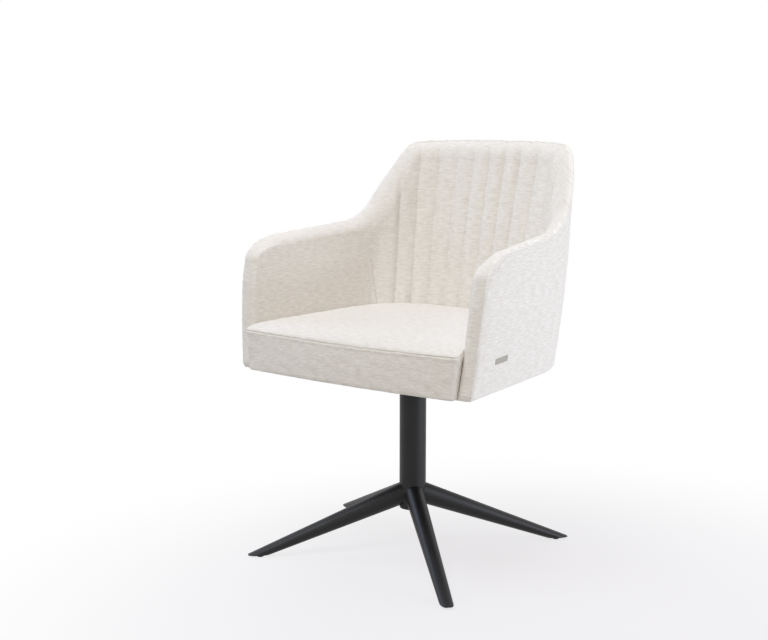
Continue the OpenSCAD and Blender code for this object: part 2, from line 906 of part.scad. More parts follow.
module arm_pad(side) {
    order = side < 0 ? [0 : arm_pad_last] : [arm_pad_last : -1 : 0];
    color("#dcd5cd")
    slab(
        [for (i = order) arm_pad_column(i, side, true)],
        [for (i = order) arm_pad_column(i, side, false)]
    );
}

module arm_pad_left() {
    arm_pad(-1);
}

module arm_pad_right() {
    arm_pad(1);
}

// Back pad: upright channels sewn into the inside of the back

seam_steps = 4;
seam_pitch = channel_w / seam_steps;
seam_edge = channel_count * channel_w / 2;
seam_columns = channel_count * seam_steps / 2;
flank_steps = 4;
back_pad_rows = 11;
back_start_z = 780;

// Station at a distance w round the inner face from the middle of the back
function t_of_width(z, w) =
    let (
        x = corner_x(z),
        r = corner_r(z) - wall_t(z, 1),
        turned = (w - x) / r * 180 / PI,
        a = taper(z)
    )
    w <= x ? 1 - (1 - corner_share) * w / x
    : side_share + (corner_share - side_share) * (90 - turned - a) / (90 - a);

// The channels fan out towards the top of the back
function fan(z) = mix(1 - channel_fan, 1, rise(z));

// Station of a back pad column: whole channels first, then the flank out to the arm pad
function back_t(c, z) =
    c <= seam_columns
        ? t_of_width(z, c * seam_pitch * fan(z))
        : mix(t_of_width(z, seam_edge * fan(z)), pad_split, (c - seam_columns) / flank_steps);

function back_high(c, z) = let (st = [90, back_t(c, z)]) border_z(st, layer_inset(st));
function back_top(c) = back_high(c, back_high(c, back_high(c, back_high(c, back_start_z))));

// Height of the padding over its seams: round crests between the sewn lines
function crest(c) =
    let (k = c % seam_steps, f = abs(k / seam_steps * 2 - 1))
    c >= seam_columns ? clamp01((c - seam_columns) * 2 / 3) : sqrt(1 - f * f);

function back_depth(c, z, z_high) =
    let (fade = ease01((z_high - z) / channel_fade))
    wall_t(z, back_t(c, z)) - channel_depth * (1 - crest(c)) * fade;

function back_column(c, side, outer) =
    let (z_high = back_top(c))
    [for (j = [0 : back_pad_rows])
        let (z = mix(pad_foot_z, z_high, 1 - pow(1 - j / back_pad_rows, 1.25)))
        wall_pt(z, back_t(c, z), outer ? pad_depth : back_depth(c, z, z_high), side)];

back_last = seam_columns + flank_steps;

module back_pad() {
    left = [for (c = [back_last : -1 : 0]) [c, -1]];
    right = [for (c = [1 : back_last]) [c, 1]];
    columns = concat(left, right);
    color("#e0dad2")
    slab(
        [for (e = columns) back_column(e[0], e[1], true)],
        [for (e = columns) back_column(e[0], e[1], false)]
    );
}

// Seat board: plywood cut to the tub, with a tongue that reaches forward between the arms

board_notch_y = front_y(board_z) + band_arm_depth + 4;
board_front_steps = 4;
board_steps = 14;
board_depth = board_back_depth + pad_gap;
skirt_end_y = board_notch_y - 4;

// Front line of the cushion or the board at an inset: it bows out between its corners
function seat_front_pt(x, inset) =
    [x, -seat_reach + seat_bow * pow(x / arm_foot_half, 2) + inset];

// Station of the straight side that lies at a given y, at a depth below the outer face
function side_t(z, y, depth) =
    side_share * clamp01((y + depth * sin(taper(z)) - front_y(z)) /
        (outer_xy(z, side_share).y - front_y(z)));

// A point of the cushion's edge, or inset from it, beside the arm pads or the back pad
function cushion_wall_pt(z, t, inset) =
    let (
        draw = seat_side_draw * (1 - ease01(t / side_share)),
        p = wall_pt(mix(z, underside_z, draw), t, wall_t(z, t) + seat_gap + inset, 1)
    )
    [p.x, p.y];
function cushion_side_pt(z, y, inset) =
    let (depth = wall_t(z, 0) + seat_gap + inset)
    [cushion_wall_pt(z, side_t(z, y, depth), inset).x, y];

cushion_foot_half = cushion_side_pt(underside_z, skirt_end_y, 0).x;
board_tongue_half = cushion_foot_half - seat_front_pad;
function board_pt(t) = let (p = wall_pt(board_z, t, board_depth, 1)) [p.x, p.y];
function board_half() = concat(
    [for (i = [0 : board_front_steps])
        seat_front_pt(board_tongue_half * i / board_front_steps, seat_front_pad)],
    [[board_tongue_half, board_notch_y]],
    let (from = side_t(board_z, board_notch_y, board_depth))
        [for (i = [0 : 1]) board_pt(mix(from, side_share, i))],
    [for (i = [1 : board_steps]) board_pt(mix(side_share, corner_share, i / board_steps))]
);

module board_outline() {
    half = board_half();
    polygon(concat(half, [for (i = [len(half) - 1 : -1 : 1]) [-half[i].x, half[i].y]]));
}

module seat_board() {
    color("#c19a66")
    difference() {
        translate([0, 0, board_z])
            linear_extrude(board_t)
            board_outline();
        at_screws() {
            translate([0, 0, board_z - cut])
                cylinder(d = nut_barrel_d + 2 * fit_gap, h = board_t + 2 * cut);
            translate([0, 0, board_top_z - nut_flange_t])
                cylinder(d = nut_flange_d + 2 * layer_gap, h = nut_flange_t + cut);
        }
    }
}

// Seat cushion: crowned, with boxed sides and a skirt that hides the board's front edge

cushion_front_steps = 4;
cushion_corner_steps = 4;
cushion_side_steps = 4;
cushion_round_steps = 7;
cushion_rear_steps = 2;
cushion_hem_r = 4;
skirt_last = cushion_front_steps + cushion_corner_steps + 1;
bed_start_y = board_notch_y - 1;
skirt_z = underside_z + layer_gap;
skirt_inset = seat_front_pad - layer_gap;

// Right half of the outline at a height and an inset, from the middle front to the rear
function cushion_half(z, inset) =
    let (
        edge_x = cushion_side_pt(z, skirt_end_y, inset).x,
        r = max(1, seat_corner_r - inset),
        corner = seat_front_pt(edge_x - r, inset),
        from = side_t(z, bed_start_y, wall_t(z, 0) + seat_gap + inset)
    )
    concat(
        [for (i = [0 : cushion_front_steps])
            seat_front_pt(corner.x * i / cushion_front_steps, inset)],
        [for (i = [1 : cushion_corner_steps])
            let (a = 90 * i / cushion_corner_steps)
            [corner.x + r * sin(a), corner.y + r * (1 - cos(a))]],
        [cushion_side_pt(z, skirt_end_y, inset), cushion_side_pt(z, bed_start_y, inset)],
        [for (i = [1 : cushion_side_steps])
            cushion_wall_pt(z, mix(from, side_share, i / cushion_side_steps), inset)],
        [for (i = [1 : cushion_round_steps])
            cushion_wall_pt(z, mix(side_share, corner_share, i / cushion_round_steps), inset)],
        [for (i = [1 : cushion_rear_steps])
            cushion_wall_pt(z, mix(corner_share, 1, i / cushion_rear_steps), inset)]
    );
function mirrored(half) =
    concat(half, [for (i = [len(half) - 2 : -1 : 1]) [-half[i].x, half[i].y, half[i].z]]);

// Top of the cushion: a low crown that falls to the seam along the front
cushion_fall_l = 62;
cushion_fall = seat_edge_h - seat_seam_h;
function cushion_top(p) =
    let (
        across = clamp01(abs(p.x) / cushion_foot_half),
        back = p.y + seat_reach - seat_bow * pow(across, 2),
        along = clamp01(back / (2 * seat_reach))
    )
    seat_edge_z + seat_crown * (1 - pow(across, 3)) * sin(90 + 90 * (0.9 - 2 * along) * 0.8)
        - cushion_fall * pow(clamp01(1 - back / cushion_fall_l), 2.2);

// Lower rings: [inset and height of the skirt, inset and height of the bed on the board]
cushion_low_rings = [
    [skirt_inset, pad_foot_z, 5, pad_foot_z],
    [skirt_inset, skirt_z, 4.5, pad_foot_z],
    [cushion_hem_r, skirt_z, 3, pad_foot_z],
    [0, skirt_z + cushion_hem_r, 0, pad_foot_z + cushion_hem_r]
];
// Upper rings: [inset, depth below the top, shrink towards the middle]
cushion_top_rings = [
    [0, 22, 1], [0, 7, 1], [1, 2.6, 1], [4, 0.6, 1], [11, 0, 1],
    [30, 0, 1], [30, 0, 0.72], [30, 0, 0.4]
];

function cushion_low_ring(r) =
    let (front = cushion_half(r[1], r[0]), bed = cushion_half(r[3], r[2]))
    mirrored([for (i = [0 : len(front) - 1])
        i <= skirt_last ? [front[i].x, front[i].y, r[1]] : [bed[i].x, bed[i].y, r[3]]]);
function cushion_top_ring(r) =
    let (z = seat_edge_z - r[1])
    mirrored([for (p = cushion_half(z, r[0]))
        let (q = p * r[2]) [q.x, q.y, cushion_top(q) - r[1]]]);

module seat_cushion() {
    color("#efece7")
    ring_loft(concat(
        [for (r = cushion_low_rings) cushion_low_ring(r)],
        [for (r = cushion_top_rings) cushion_top_ring(r)]
    ), [0, 0, pad_foot_z], [0, 0, cushion_top([0, 0])]);
}

// Dust cover: black cloth stapled under the board, cut out round the swivel plate

dust_t = 0.8;
dust_inset = 12;
dust_plate_gap = 4;

module dust_cover() {
    shrink = 1 - dust_inset / cushion_foot_half;
    color("#242324")
    translate([0, 0, board_z - dust_t])
    linear_extrude(dust_t)
    difference() {
        scale([shrink, shrink])
            board_outline();
        plate_outline(plate_side + 2 * dust_plate_gap, plate_corner_r + dust_plate_gap);
    }
}

// Blank metal tag on the outside of the +X arm, near its lower front corner

module side_tag() {
    z = underside_z + tag_up;
    p = wall_pt(z, t_of(tag_back), -layer_gap, 1);
    flare_tilt = atan((outer_xy(z + 1, 0).x - outer_xy(z - 1, 0).x) / 2);
    color("#8f8d8a")
    translate(p)
    rotate([0, 0, taper(z)])
    rotate([0, flare_tilt, 0])
    translate([0, -tag_l / 2, -tag_h / 2])
        cube([tag_t, tag_l, tag_h]);
}

column_tube();
column_plug();
leg_front_left();
leg_front_right();
leg_rear_right();
leg_rear_left();
glide_front_left();
glide_front_right();
glide_rear_right();
glide_rear_left();
upper_bush();
lower_bush();
lower_race();
ball_cage();
bearing_balls();
upper_race();
spindle();
spindle_washer();
retaining_ring();
swivel_plate();
plate_screws();
plate_washers();
tee_nuts();
seat_board();
dust_cover();
shell_board();
outer_cover();
edge_band();
arm_pad_left();
arm_pad_right();
back_pad();
seat_cushion();
side_tag();
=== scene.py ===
# %% [markdown]
# # An upholstered swivel chair
# A tub-shaped armchair turns on a round column with four tapered legs. The metal pieces come
# measured and finished in shape from the drawing, and only need a surface. The soft pieces come
# as plain solids, so each is made again here as sewn and padded fabric in the same place.
# Lengths on the drawing are in millimetres, and Blender works in metres.

# %% Load the measured parts
import json
import math
import bmesh
import bpy
import numpy as np
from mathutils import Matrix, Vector


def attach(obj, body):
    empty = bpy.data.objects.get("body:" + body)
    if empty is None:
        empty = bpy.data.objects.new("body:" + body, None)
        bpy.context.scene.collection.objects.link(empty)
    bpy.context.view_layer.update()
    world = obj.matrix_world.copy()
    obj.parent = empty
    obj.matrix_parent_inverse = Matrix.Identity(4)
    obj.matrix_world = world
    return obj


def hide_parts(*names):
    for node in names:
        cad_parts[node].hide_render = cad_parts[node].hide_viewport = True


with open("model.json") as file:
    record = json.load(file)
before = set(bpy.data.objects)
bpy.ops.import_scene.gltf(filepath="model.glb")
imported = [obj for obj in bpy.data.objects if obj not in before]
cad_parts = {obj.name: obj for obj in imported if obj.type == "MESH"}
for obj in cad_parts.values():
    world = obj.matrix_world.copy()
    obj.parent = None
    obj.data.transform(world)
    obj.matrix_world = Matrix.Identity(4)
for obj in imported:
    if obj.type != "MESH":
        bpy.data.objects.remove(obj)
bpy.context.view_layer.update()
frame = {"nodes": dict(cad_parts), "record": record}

scene = bpy.context.scene
nodes = frame["nodes"]

# %% [markdown]
# The camera stands where the photographer stood. Its place and lens were worked out from the
# straight edges and the leg tips in the photograph, so it is set by numbers and not by eye.

# %% Camera
CAMERA_AT = (1.60332, -2.23507, 0.94952)
TILT_DOWN = 9.1607
TURN_LEFT = 36.943
LENS_MM = 61.68
SENSOR_MM = 36

lens = bpy.data.cameras.new("camera")
lens.sensor_width = SENSOR_MM
lens.lens = LENS_MM
lens.clip_end = 50
camera = bpy.data.objects.new("camera", lens)
camera.location = CAMERA_AT
camera.rotation_euler = (math.radians(90 - TILT_DOWN), 0, math.radians(TURN_LEFT))
scene.collection.objects.link(camera)
scene.camera = camera
scene.view_settings.view_transform = "Standard"
print("camera at", tuple(camera.location), "with a lens of", lens.lens, "mm")

# %% [markdown]
# Colours are written as sRGB hex, the way a paint card or a picture gives them. Blender's shaders
# work in linear light, so one function turns them round. One more small function adds a node,
# sets what it needs and wires its inputs, which keeps each finish readable as a recipe. A mix of
# two colours takes them on inputs 6 and 7 and gives its result on output 2.

# %% Colour and node helpers
def linear(code):
    """sRGB hex to linear RGBA."""
    channels = [int(code[i:i + 2], 16) / 255 for i in (0, 2, 4)]
    return tuple(c / 12.92 if c <= 0.04045 else ((c + 0.055) / 1.055) ** 2.4
                 for c in channels) + (1.0,)


def add_node(tree, kind, inputs=None, **settings):
    """Adds a node, sets its settings, and fills or wires its inputs."""
    node = tree.nodes.new(kind)
    for name, value in settings.items():
        setattr(node, name, value)
    for key, value in (inputs or {}).items():
        if isinstance(value, bpy.types.NodeSocket):
            tree.links.new(value, node.inputs[key])
        else:
            node.inputs[key].default_value = value
    return node


def start_finish(name):
    """A new material with an empty node tree."""
    material = bpy.data.materials.new(name)
    material.use_nodes = True
    material.node_tree.nodes.clear()
    return material, material.node_tree


def end_finish(tree, surface):
    add_node(tree, "ShaderNodeOutputMaterial", {"Surface": surface})


def plainly_seen(tree):
    """1 for what the camera sees straight or in a shiny surface, and 0 for light that bounces."""
    path = add_node(tree, "ShaderNodeLightPath")
    seen = add_node(tree, "ShaderNodeMath", {0: path.outputs["Is Camera Ray"],
                    1: path.outputs["Is Glossy Ray"]}, operation="MAXIMUM")
    return seen.outputs[0]


print("half-bright grey 808080 is", round(linear("808080")[0], 3), "in linear light")

# %% [markdown]
# The upholstery is a heavy off-white cotton and linen weave. Thick and thin weft threads lie
# across the cloth, so light catches it in short level streaks. The real threads are about a
# millimetre apart, too fine for this view, so the ribs are drawn 2.4 mm apart. The pattern reads
# an attribute called "weave" that each piece carries: metres along and up its own cloth.

# %% Fabric
# Distance between the ribs and depth of the relief, in metres
THREAD = 0.0024
RELIEF = 0.0005
# At scale 1 a wave texture repeats every 0.314 m
WAVE_LENGTH = 0.314


def woven_cloth(name, pale, deep):
    """Slubby weave: level ribs that drift a little, thick places, fuzz and loose patches."""
    cloth, tree = start_finish(name)
    lay = add_node(tree, "ShaderNodeAttribute", attribute_name="weave").outputs["Vector"]
    drift = add_node(tree, "ShaderNodeTexNoise", {
        "Vector": lay, "Scale": 45.0, "Detail": 2.0, "Roughness": 0.5})
    bent = add_node(tree, "ShaderNodeVectorMath", {0: drift.outputs["Color"],
                    1: (0.004, 0.004, 0.0)}, operation="MULTIPLY")
    bent = add_node(tree, "ShaderNodeVectorMath", {0: lay, 1: bent.outputs[0]}, operation="ADD")
    weft = add_node(tree, "ShaderNodeTexWave", {
        "Vector": bent.outputs[0], "Scale": WAVE_LENGTH / THREAD, "Distortion": 1.2,
        "Detail": 1.0, "Detail Scale": 1.5}, wave_type="BANDS", bands_direction="Y")
    # Slubs: the thick places in a thread, 20 mm long and one or two threads high
    stretch = add_node(tree, "ShaderNodeMapping", {"Vector": bent.outputs[0],
                       "Scale": (55.0, 330.0, 1.0)})
    slub = add_node(tree, "ShaderNodeTexNoise", {
        "Vector": stretch.outputs[0], "Scale": 1.0, "Detail": 3.0, "Roughness": 0.6})
    fuzz = add_node(tree, "ShaderNodeTexNoise", {
        "Vector": lay, "Scale": 900.0, "Detail": 2.0, "Roughness": 0.6})
    # Loose and tight patches, 10 to 20 mm wide
    patch = add_node(tree, "ShaderNodeTexNoise", {
        "Vector": lay, "Scale": 75.0, "Detail": 2.0, "Roughness": 0.55})
    # The height of the cloth adds up the ribs and these three, each by its share
    height = add_node(tree, "ShaderNodeMath", {0: weft.outputs["Fac"], 1: 0.35},
                      operation="MULTIPLY")
    for layer, share in ((slub, 0.9), (fuzz, 0.25), (patch, 0.2)):
        height = add_node(tree, "ShaderNodeMath", {0: layer.outputs["Fac"], 1: share,
                          2: height.outputs[0]}, operation="MULTIPLY_ADD")
    # The colour follows this height, so the low places are darker. Between the ribs that darkening
    # is painted shade in the hollows of the weave; at slubs and patches it is also the yarn's own
    # uneven tone.
    level = add_node(tree, "ShaderNodeMapRange", {"Value": height.outputs[0],
                     "From Min": 0.45, "From Max": 1.15})
    tint = add_node(tree, "ShaderNodeMix", {"Factor": level.outputs[0], 6: linear(deep),
                    7: linear(pale)}, data_type="RGBA")
    relief = add_node(tree, "ShaderNodeBump", {"Height": height.outputs[0], "Strength": 0.6,
                      "Distance": RELIEF})
    surface = add_node(tree, "ShaderNodeBsdfPrincipled", {
        "Base Color": tint.outputs[2], "Roughness": 0.93, "Specular IOR Level": 0.2,
        "Sheen Weight": 0.15, "Sheen Roughness": 0.6, "Normal": relief.outputs[0]})
    end_finish(tree, surface.outputs[0])
    return cloth


cream_cloth = woven_cloth("off_white_slub_weave", "FBF8F4", "D3CBC1")
print("fabric ready:", cream_cloth.name)

# %% [markdown]
# The base is steel tube under a satin powder coat. The powder melts into a skin with a very fine
# orange peel, so its highlights are wide and a little broken. Glides, plug and bushes are moulded
# plastic, and the bearing is ground and hardened steel with a pressed brass cage.

# %% Metals and plastics
def speckled(name, code, light_code, metallic, roughness, grain_mm, relief_mm, gloss=0.5):
    """A hard finish with fine grain: colour, roughness and relief vary together."""
    finish, tree = start_finish(name)
    place = add_node(tree, "ShaderNodeTexCoord").outputs["Object"]
    grain = add_node(tree, "ShaderNodeTexNoise", {
        "Vector": place, "Scale": 1000 / grain_mm, "Detail": 3.0, "Roughness": 0.55})
    cloud = add_node(tree, "ShaderNodeTexNoise", {
        "Vector": place, "Scale": 14.0, "Detail": 3.0, "Roughness": 0.5})
    tint = add_node(tree, "ShaderNodeMix", {"Factor": cloud.outputs["Fac"], 6: linear(code),
                    7: linear(light_code)}, data_type="RGBA")
    rough = add_node(tree, "ShaderNodeMapRange", {"Value": cloud.outputs["Fac"],
                     "From Min": 0.3, "From Max": 0.7, "To Min": roughness - 0.04,
                     "To Max": roughness + 0.05})
    relief = add_node(tree, "ShaderNodeBump", {"Height": grain.outputs["Fac"],
                      "Strength": 0.5, "Distance": relief_mm / 1000})
    surface = add_node(tree, "ShaderNodeBsdfPrincipled", {
        "Base Color": tint.outputs[2], "Metallic": metallic, "Roughness": rough.outputs[0],
        "Specular IOR Level": gloss, "Normal": relief.outputs[0]})
    end_finish(tree, surface.outputs[0])
    return finish


finishes = {
    "black_steel": speckled("satin_black_powder_coat", "121011", "181617", 0.0, 0.46, 1.2, 0.05,
                             0.38),
    "black_plastic": speckled("moulded_black_nylon", "151415", "1B1A1B", 0.0, 0.55, 0.8, 0.03),
    "bush_plastic": speckled("natural_acetal", "8B8780", "979289", 0.0, 0.45, 1.0, 0.02),
    "bearing_steel": speckled("ground_bearing_steel", "B9BBBE", "C6C8CA", 1.0, 0.22, 0.6, 0.01),
    "spring_steel": speckled("blued_spring_steel", "3B3E45", "4A4C52", 1.0, 0.34, 0.6, 0.01),
    "cage_brass": speckled("pressed_brass", "C79A4B", "D3A95C", 1.0, 0.28, 0.8, 0.01),
    "zinc_steel": speckled("zinc_plated_steel", "B4B7BA", "C4C6C6", 1.0, 0.36, 1.5, 0.02),
    "tag_metal": speckled("brushed_pewter_tag", "A5A19B", "B2AEA8", 1.0, 0.38, 0.5, 0.02),
}
print(len(finishes), "hard finishes ready")

# %% [markdown]
# Seat board and shell are birch plywood. The face shows long grain with soft darker lines, and
# rotary cut veneer makes them wander. Under the board lies thin black non-woven cloth.

# %% Plywood
def birch_plywood():
    """Pale wood with long, wandering grain, sanded and left without varnish."""
    wood, tree = start_finish("birch_plywood")
    place = add_node(tree, "ShaderNodeTexCoord").outputs["Object"]
    long = add_node(tree, "ShaderNodeMapping", {"Vector": place, "Scale": (6.0, 70.0, 70.0)})
    grain = add_node(tree, "ShaderNodeTexNoise", {
        "Vector": long.outputs[0], "Scale": 1.0, "Detail": 5.0, "Roughness": 0.6,
        "Distortion": 0.6})
    tint = add_node(tree, "ShaderNodeMix", {"Factor": grain.outputs["Fac"], 6: linear("C9A87A"),
                    7: linear("E2C79C")}, data_type="RGBA")
    relief = add_node(tree, "ShaderNodeBump", {"Height": grain.outputs["Fac"],
                      "Strength": 0.3, "Distance": 0.0002})
    surface = add_node(tree, "ShaderNodeBsdfPrincipled", {
        "Base Color": tint.outputs[2], "Roughness": 0.62, "Normal": relief.outputs[0]})
    end_finish(tree, surface.outputs[0])
    return wood


def black_nonwoven():
    """Thin bonded fibre cloth: matt, with cloudy thick and thin places."""
    cloth, tree = start_finish("black_nonwoven_cloth")
    place = add_node(tree, "ShaderNodeTexCoord").outputs["Object"]
    fibre = add_node(tree, "ShaderNodeTexNoise", {
        "Vector": place, "Scale": 700.0, "Detail": 4.0, "Roughness": 0.7})
    cloud = add_node(tree, "ShaderNodeTexNoise", {
        "Vector": place, "Scale": 60.0, "Detail": 3.0, "Roughness": 0.6})
    tint = add_node(tree, "ShaderNodeMix", {"Factor": cloud.outputs["Fac"], 6: linear("1B1A1B"),
                    7: linear("2A292A")}, data_type="RGBA")
    relief = add_node(tree, "ShaderNodeBump", {"Height": fibre.outputs["Fac"],
                      "Strength": 0.5, "Distance": 0.0003})
    surface = add_node(tree, "ShaderNodeBsdfPrincipled", {
        "Base Color": tint.outputs[2], "Roughness": 0.9, "Specular IOR Level": 0.2,
        "Normal": relief.outputs[0]})
    end_finish(tree, surface.outputs[0])
    return cloth


finishes["plywood"] = birch_plywood()
finishes["dust_cloth"] = black_nonwoven()
print("board finishes ready:", finishes["plywood"].name, "and", finishes["dust_cloth"].name)

# %% [markdown]
# Every measured part that stays in view takes the finish of its slot. Round tubes came as many
# narrow facets, so the edges between facets are told to shade as one curve. An edge that turns
# more than 32 degrees stays crisp. Only the shading changes and no point moves.

# %% Dress the measured parts
CRISP_FROM = 32


def shade_round(part):
    """Lets the facets of a round face shade as one curve."""
    mesh = part.data
    if "custom_normal" in mesh.attributes:
        mesh.attributes.remove(mesh.attributes["custom_normal"])
    points = np.empty(len(mesh.vertices) * 3)
    mesh.vertices.foreach_get("co", points)
    _, spot = np.unique(points.reshape(-1, 3).round(6), axis=0, return_inverse=True)
    spot = spot.ravel()
    facing = {}
    for face in mesh.polygons:
        ring = [int(spot[v]) for v in face.vertices]
        for a, b in zip(ring, ring[1:] + ring[:1]):
            facing.setdefault((min(a, b), max(a, b)), []).append(face.normal)
    limit = math.cos(math.radians(CRISP_FROM))
    crisp = []
    for line in mesh.edges:
        a, b = (int(spot[v]) for v in line.vertices)
        sides = facing.get((min(a, b), max(a, b)), [])
        crisp.append(len(sides) != 2 or sides[0].dot(sides[1]) < limit)
    mesh.polygons.foreach_set("use_smooth", [True] * len(mesh.polygons))
    flag = mesh.attributes.get("sharp_edge") or mesh.attributes.new("sharp_edge", "BOOLEAN",
                                                                    "EDGE")
    flag.data.foreach_set("value", crisp)
    weld = part.modifiers.new("weld", "WELD")
    weld.merge_threshold = 1e-6


slot_of = {s["node"]: s["material_slot"] for s in frame["record"]["subparts"]}
for name, part in nodes.items():
    finish = finishes.get(slot_of[name])
    if finish:
        part.data.materials.clear()
        part.data.materials.append(finish)
        shade_round(part)
print("dressed:", sum(slot_of[n] in finishes for n in nodes), "parts")

# %% [markdown]
# The tub is the shell that arms and back are padded on. The padding has to follow it closely, so
# its main sizes are named here, in millimetres and as on the drawing.

# %% Sizes of the tub
# Heights: of the tub's lower edge, and of the arm and the back over it
UNDERSIDE = 405.0
ARM_H = 270.0
BACK_H = 472.0
# Half the width over the arms at the lower edge, and how far it flares by the arms' top
FRONT_HALF = 291.0
FLARE = 16.5
# Where the arm's front and the back's rear lie at the lower edge, and how far each leans back
FRONT_Y = -218.5
FRONT_LEAN = 27.0
REAR_Y = 265.0
REAR_LEAN = 70.0
# The arms turn in towards the back by so many degrees, below and above
TAPER_LOW, TAPER_HIGH = 5.2, 7.1
CORNER_R_LOW, CORNER_R_HIGH = 172.0, 157.0
# Thickness of an arm, and of the back below and above
ARM_WALL = 36.0
BACK_WALL_LOW, BACK_WALL_HIGH = 66.0, 50.0
# Places t along a wall: the end of its straight side and of its round corner
SIDE = 0.42
CORNER = 0.86
# Where the wing starts and ends, and the length of the bend at each end
WING_FROM = 0.34
WING_TO = 0.66
WING_EASE = 0.085
print("the tub stands from", UNDERSIDE, "to", UNDERSIDE + BACK_H, "mm over the floor")

# %% [markdown]
# In plan the tub is a straight side, a round corner and a flat back, all leaning and flaring with
# height. These helpers give its main lines at a height z: fronts, rear, corners and taper.

# %% Plan of the tub
def clamp01(x):
    return np.clip(x, 0.0, 1.0)


def ease01(x):
    c = clamp01(x)
    return c * c * (3 - 2 * c)


def mix(a, b, k):
    return a + (b - a) * k


def rise(z):
    """Height as a share: 0 at the lower edge, 1 just over the back."""
    return (z - UNDERSIDE) / (BACK_H + 3)


def settled(z):
    """A share that grows fast at first and is 1 from a little over half of the height."""
    return 1 - (1 - clamp01(rise(z) / 0.6)) ** 2


def front_half(z):
    return FRONT_HALF + FLARE * (1 - (1 - clamp01((z - UNDERSIDE) / ARM_H)) ** 2)


def front_y(z):
    return FRONT_Y + FRONT_LEAN * (z - UNDERSIDE) / ARM_H


def rear_y(z):
    return REAR_Y + REAR_LEAN * rise(z)


def taper(z):
    return mix(TAPER_LOW, TAPER_HIGH, settled(z))


def corner_r(z):
    return mix(CORNER_R_LOW, CORNER_R_HIGH, settled(z))


def corner_x(z):
    """Half the width of the flat back, up to where the round corner starts."""
    a = np.radians(taper(z))
    return front_half(z) - np.tan(a) * (rear_y(z) - corner_r(z) - front_y(z)) \
        - corner_r(z) / np.cos(a)


print("the back is flat over", round(2 * float(corner_x(UNDERSIDE))), "mm below and",
      round(2 * float(corner_x(UNDERSIDE + BACK_H))), "mm above")

# %% [markdown]
# A place on the tub is given by its side, by t, which runs from 0 at the arm's front to 1 at the
# middle of the back, by its height and by its depth below the outer face. One function turns
# that into a point. Every soft piece is drawn through it, so the cloth follows the shell closely.

# %% Wall of the tub
def wall_thickness(z, t):
    """The arm's thickness, which eases into the back's through the wing."""
    back = mix(BACK_WALL_LOW, BACK_WALL_HIGH, clamp01(rise(z)))
    return mix(ARM_WALL, back, ease01((t - 0.34) / 0.36))


def tub(side, t, z, depth):
    """Points of the tub's wall in metres. side is -1 left or 1 right, t runs 0 front to 1 rear."""
    side, t, z, depth = np.broadcast_arrays(side, t, z, depth)
    a, r = np.radians(taper(z)), corner_r(z)
    cx, cy = corner_x(z), rear_y(z) - r
    turn = mix(a, math.pi / 2, clamp01((t - SIDE) / (CORNER - SIDE)))
    k = clamp01(t / SIDE)
    x = np.where(t <= SIDE, mix(front_half(z), cx + r * np.cos(a), k),
                 np.where(t <= CORNER, cx + r * np.cos(turn), cx * (1 - t) / (1 - CORNER)))
    y = np.where(t <= SIDE, mix(front_y(z), cy + r * np.sin(a), k),
                 np.where(t <= CORNER, cy + r * np.sin(turn), rear_y(z)))
    x, y = x - depth * np.cos(turn), y - depth * np.sin(turn)
    # The arm's front leans back by 5 mm as it nears its rounded corner
    y = y + 5.0 * ease01((z - 575) / 60) * (1 - ease01(k / 0.26))
    return np.stack([side * x, y, z], axis=-1) / 1000


top_of_arm = UNDERSIDE + ARM_H
side_length = 1000 * np.linalg.norm(tub(1, SIDE, top_of_arm, 0) - tub(1, 0, top_of_arm, 0))


def t_of(length):
    """Place t at a length in mm behind the arm's front."""
    return SIDE * length / side_length


print("straight side of the arm:", round(float(side_length), 1), "mm")

# %% [markdown]
# The upper edge rises slowly along the arm, climbs through the wing and runs level over the back.
# The arm's front corner is a quarter of an oval. Each station of that edge is an angle round the
# corner, and then a place t along the wall.

# %% Upper edge
# The oval corner is 45 mm high and 85 mm long
CORNER_H = 45.0
CORNER_T = t_of(85.0)
# The arm rises from front to rear, and the back is a little higher in the middle
ARM_RISE = 27.0
BACK_CROWN = 5.0


def wing_share(t):
    """0 on the arm, 1 on the back, and a straight climb with two bends between them."""
    a, b = t - WING_FROM, WING_TO - t
    gain = 1 / (WING_TO - WING_FROM - WING_EASE)
    middle = gain * (a - WING_EASE / 2)
    return np.select([a <= 0, b <= 0, a < WING_EASE, b < WING_EASE],
                     [0, 1, gain * a * a / (2 * WING_EASE), 1 - gain * b * b / (2 * WING_EASE)],
                     middle)


def wing_steep(t):
    """1 where the wing climbs and 0 elsewhere."""
    return clamp01((t - WING_FROM) / WING_EASE) * clamp01((WING_TO - t) / WING_EASE)


def edge(angle, t, inset):
    """Place t and height z of the upper edge, or of a line below it by an inset."""
    t_front = t_of(inset)
    t_corner = t_front + (CORNER_T - t_front) * (1 - np.cos(np.radians(angle)))
    t = np.where(angle < 90, t_corner, t)
    arm = top_of_arm + ARM_RISE * np.minimum(t, SIDE) / SIDE - inset \
        - (CORNER_H - inset) * (1 - np.sin(np.radians(angle)))
    top = UNDERSIDE + BACK_H - BACK_CROWN * clamp01((1 - t) / (1 - WING_TO)) ** 2 - inset
    return t, mix(arm, top, wing_share(t)) - inset * 0.67 * wing_steep(t)


print("the edge is", round(float(edge(90, WING_FROM, 0)[1]), 1), "mm high where the wing starts,",
      round(float(edge(90, 1, 0)[1]), 1), "mm at the back")

# %% [markdown]
# A boxed edge has a band between two seams. Here the band is a firm corner outside and a soft
# roll inside, both narrow on the arms' fronts and wide on the back. These shapes are needed by
# every piece that meets the band, so they are set before any of them is made.

# %% Shape of the band
# Depth of the band's outer seam below the edge, on the arms and on the back. Round the arm's
# corner the seam lags behind the edge, by these angles and depths.
ARM_SEAM, BACK_SEAM = 14.0, 26.0
SEAM_ANGLES = (0, 20, 55, 80, 90)
SEAM_DEPTHS = (7.5, 14, 20, 10, 9)
# Radius of the band's outer corner, and reach of its soft inner roll: front, arm and back
FRONT_R, ARM_R, BACK_R = 3.0, 8.5, 18.5
FRONT_ROLL, ARM_ROLL, BACK_ROLL = 14.0, 25.0, 38.0
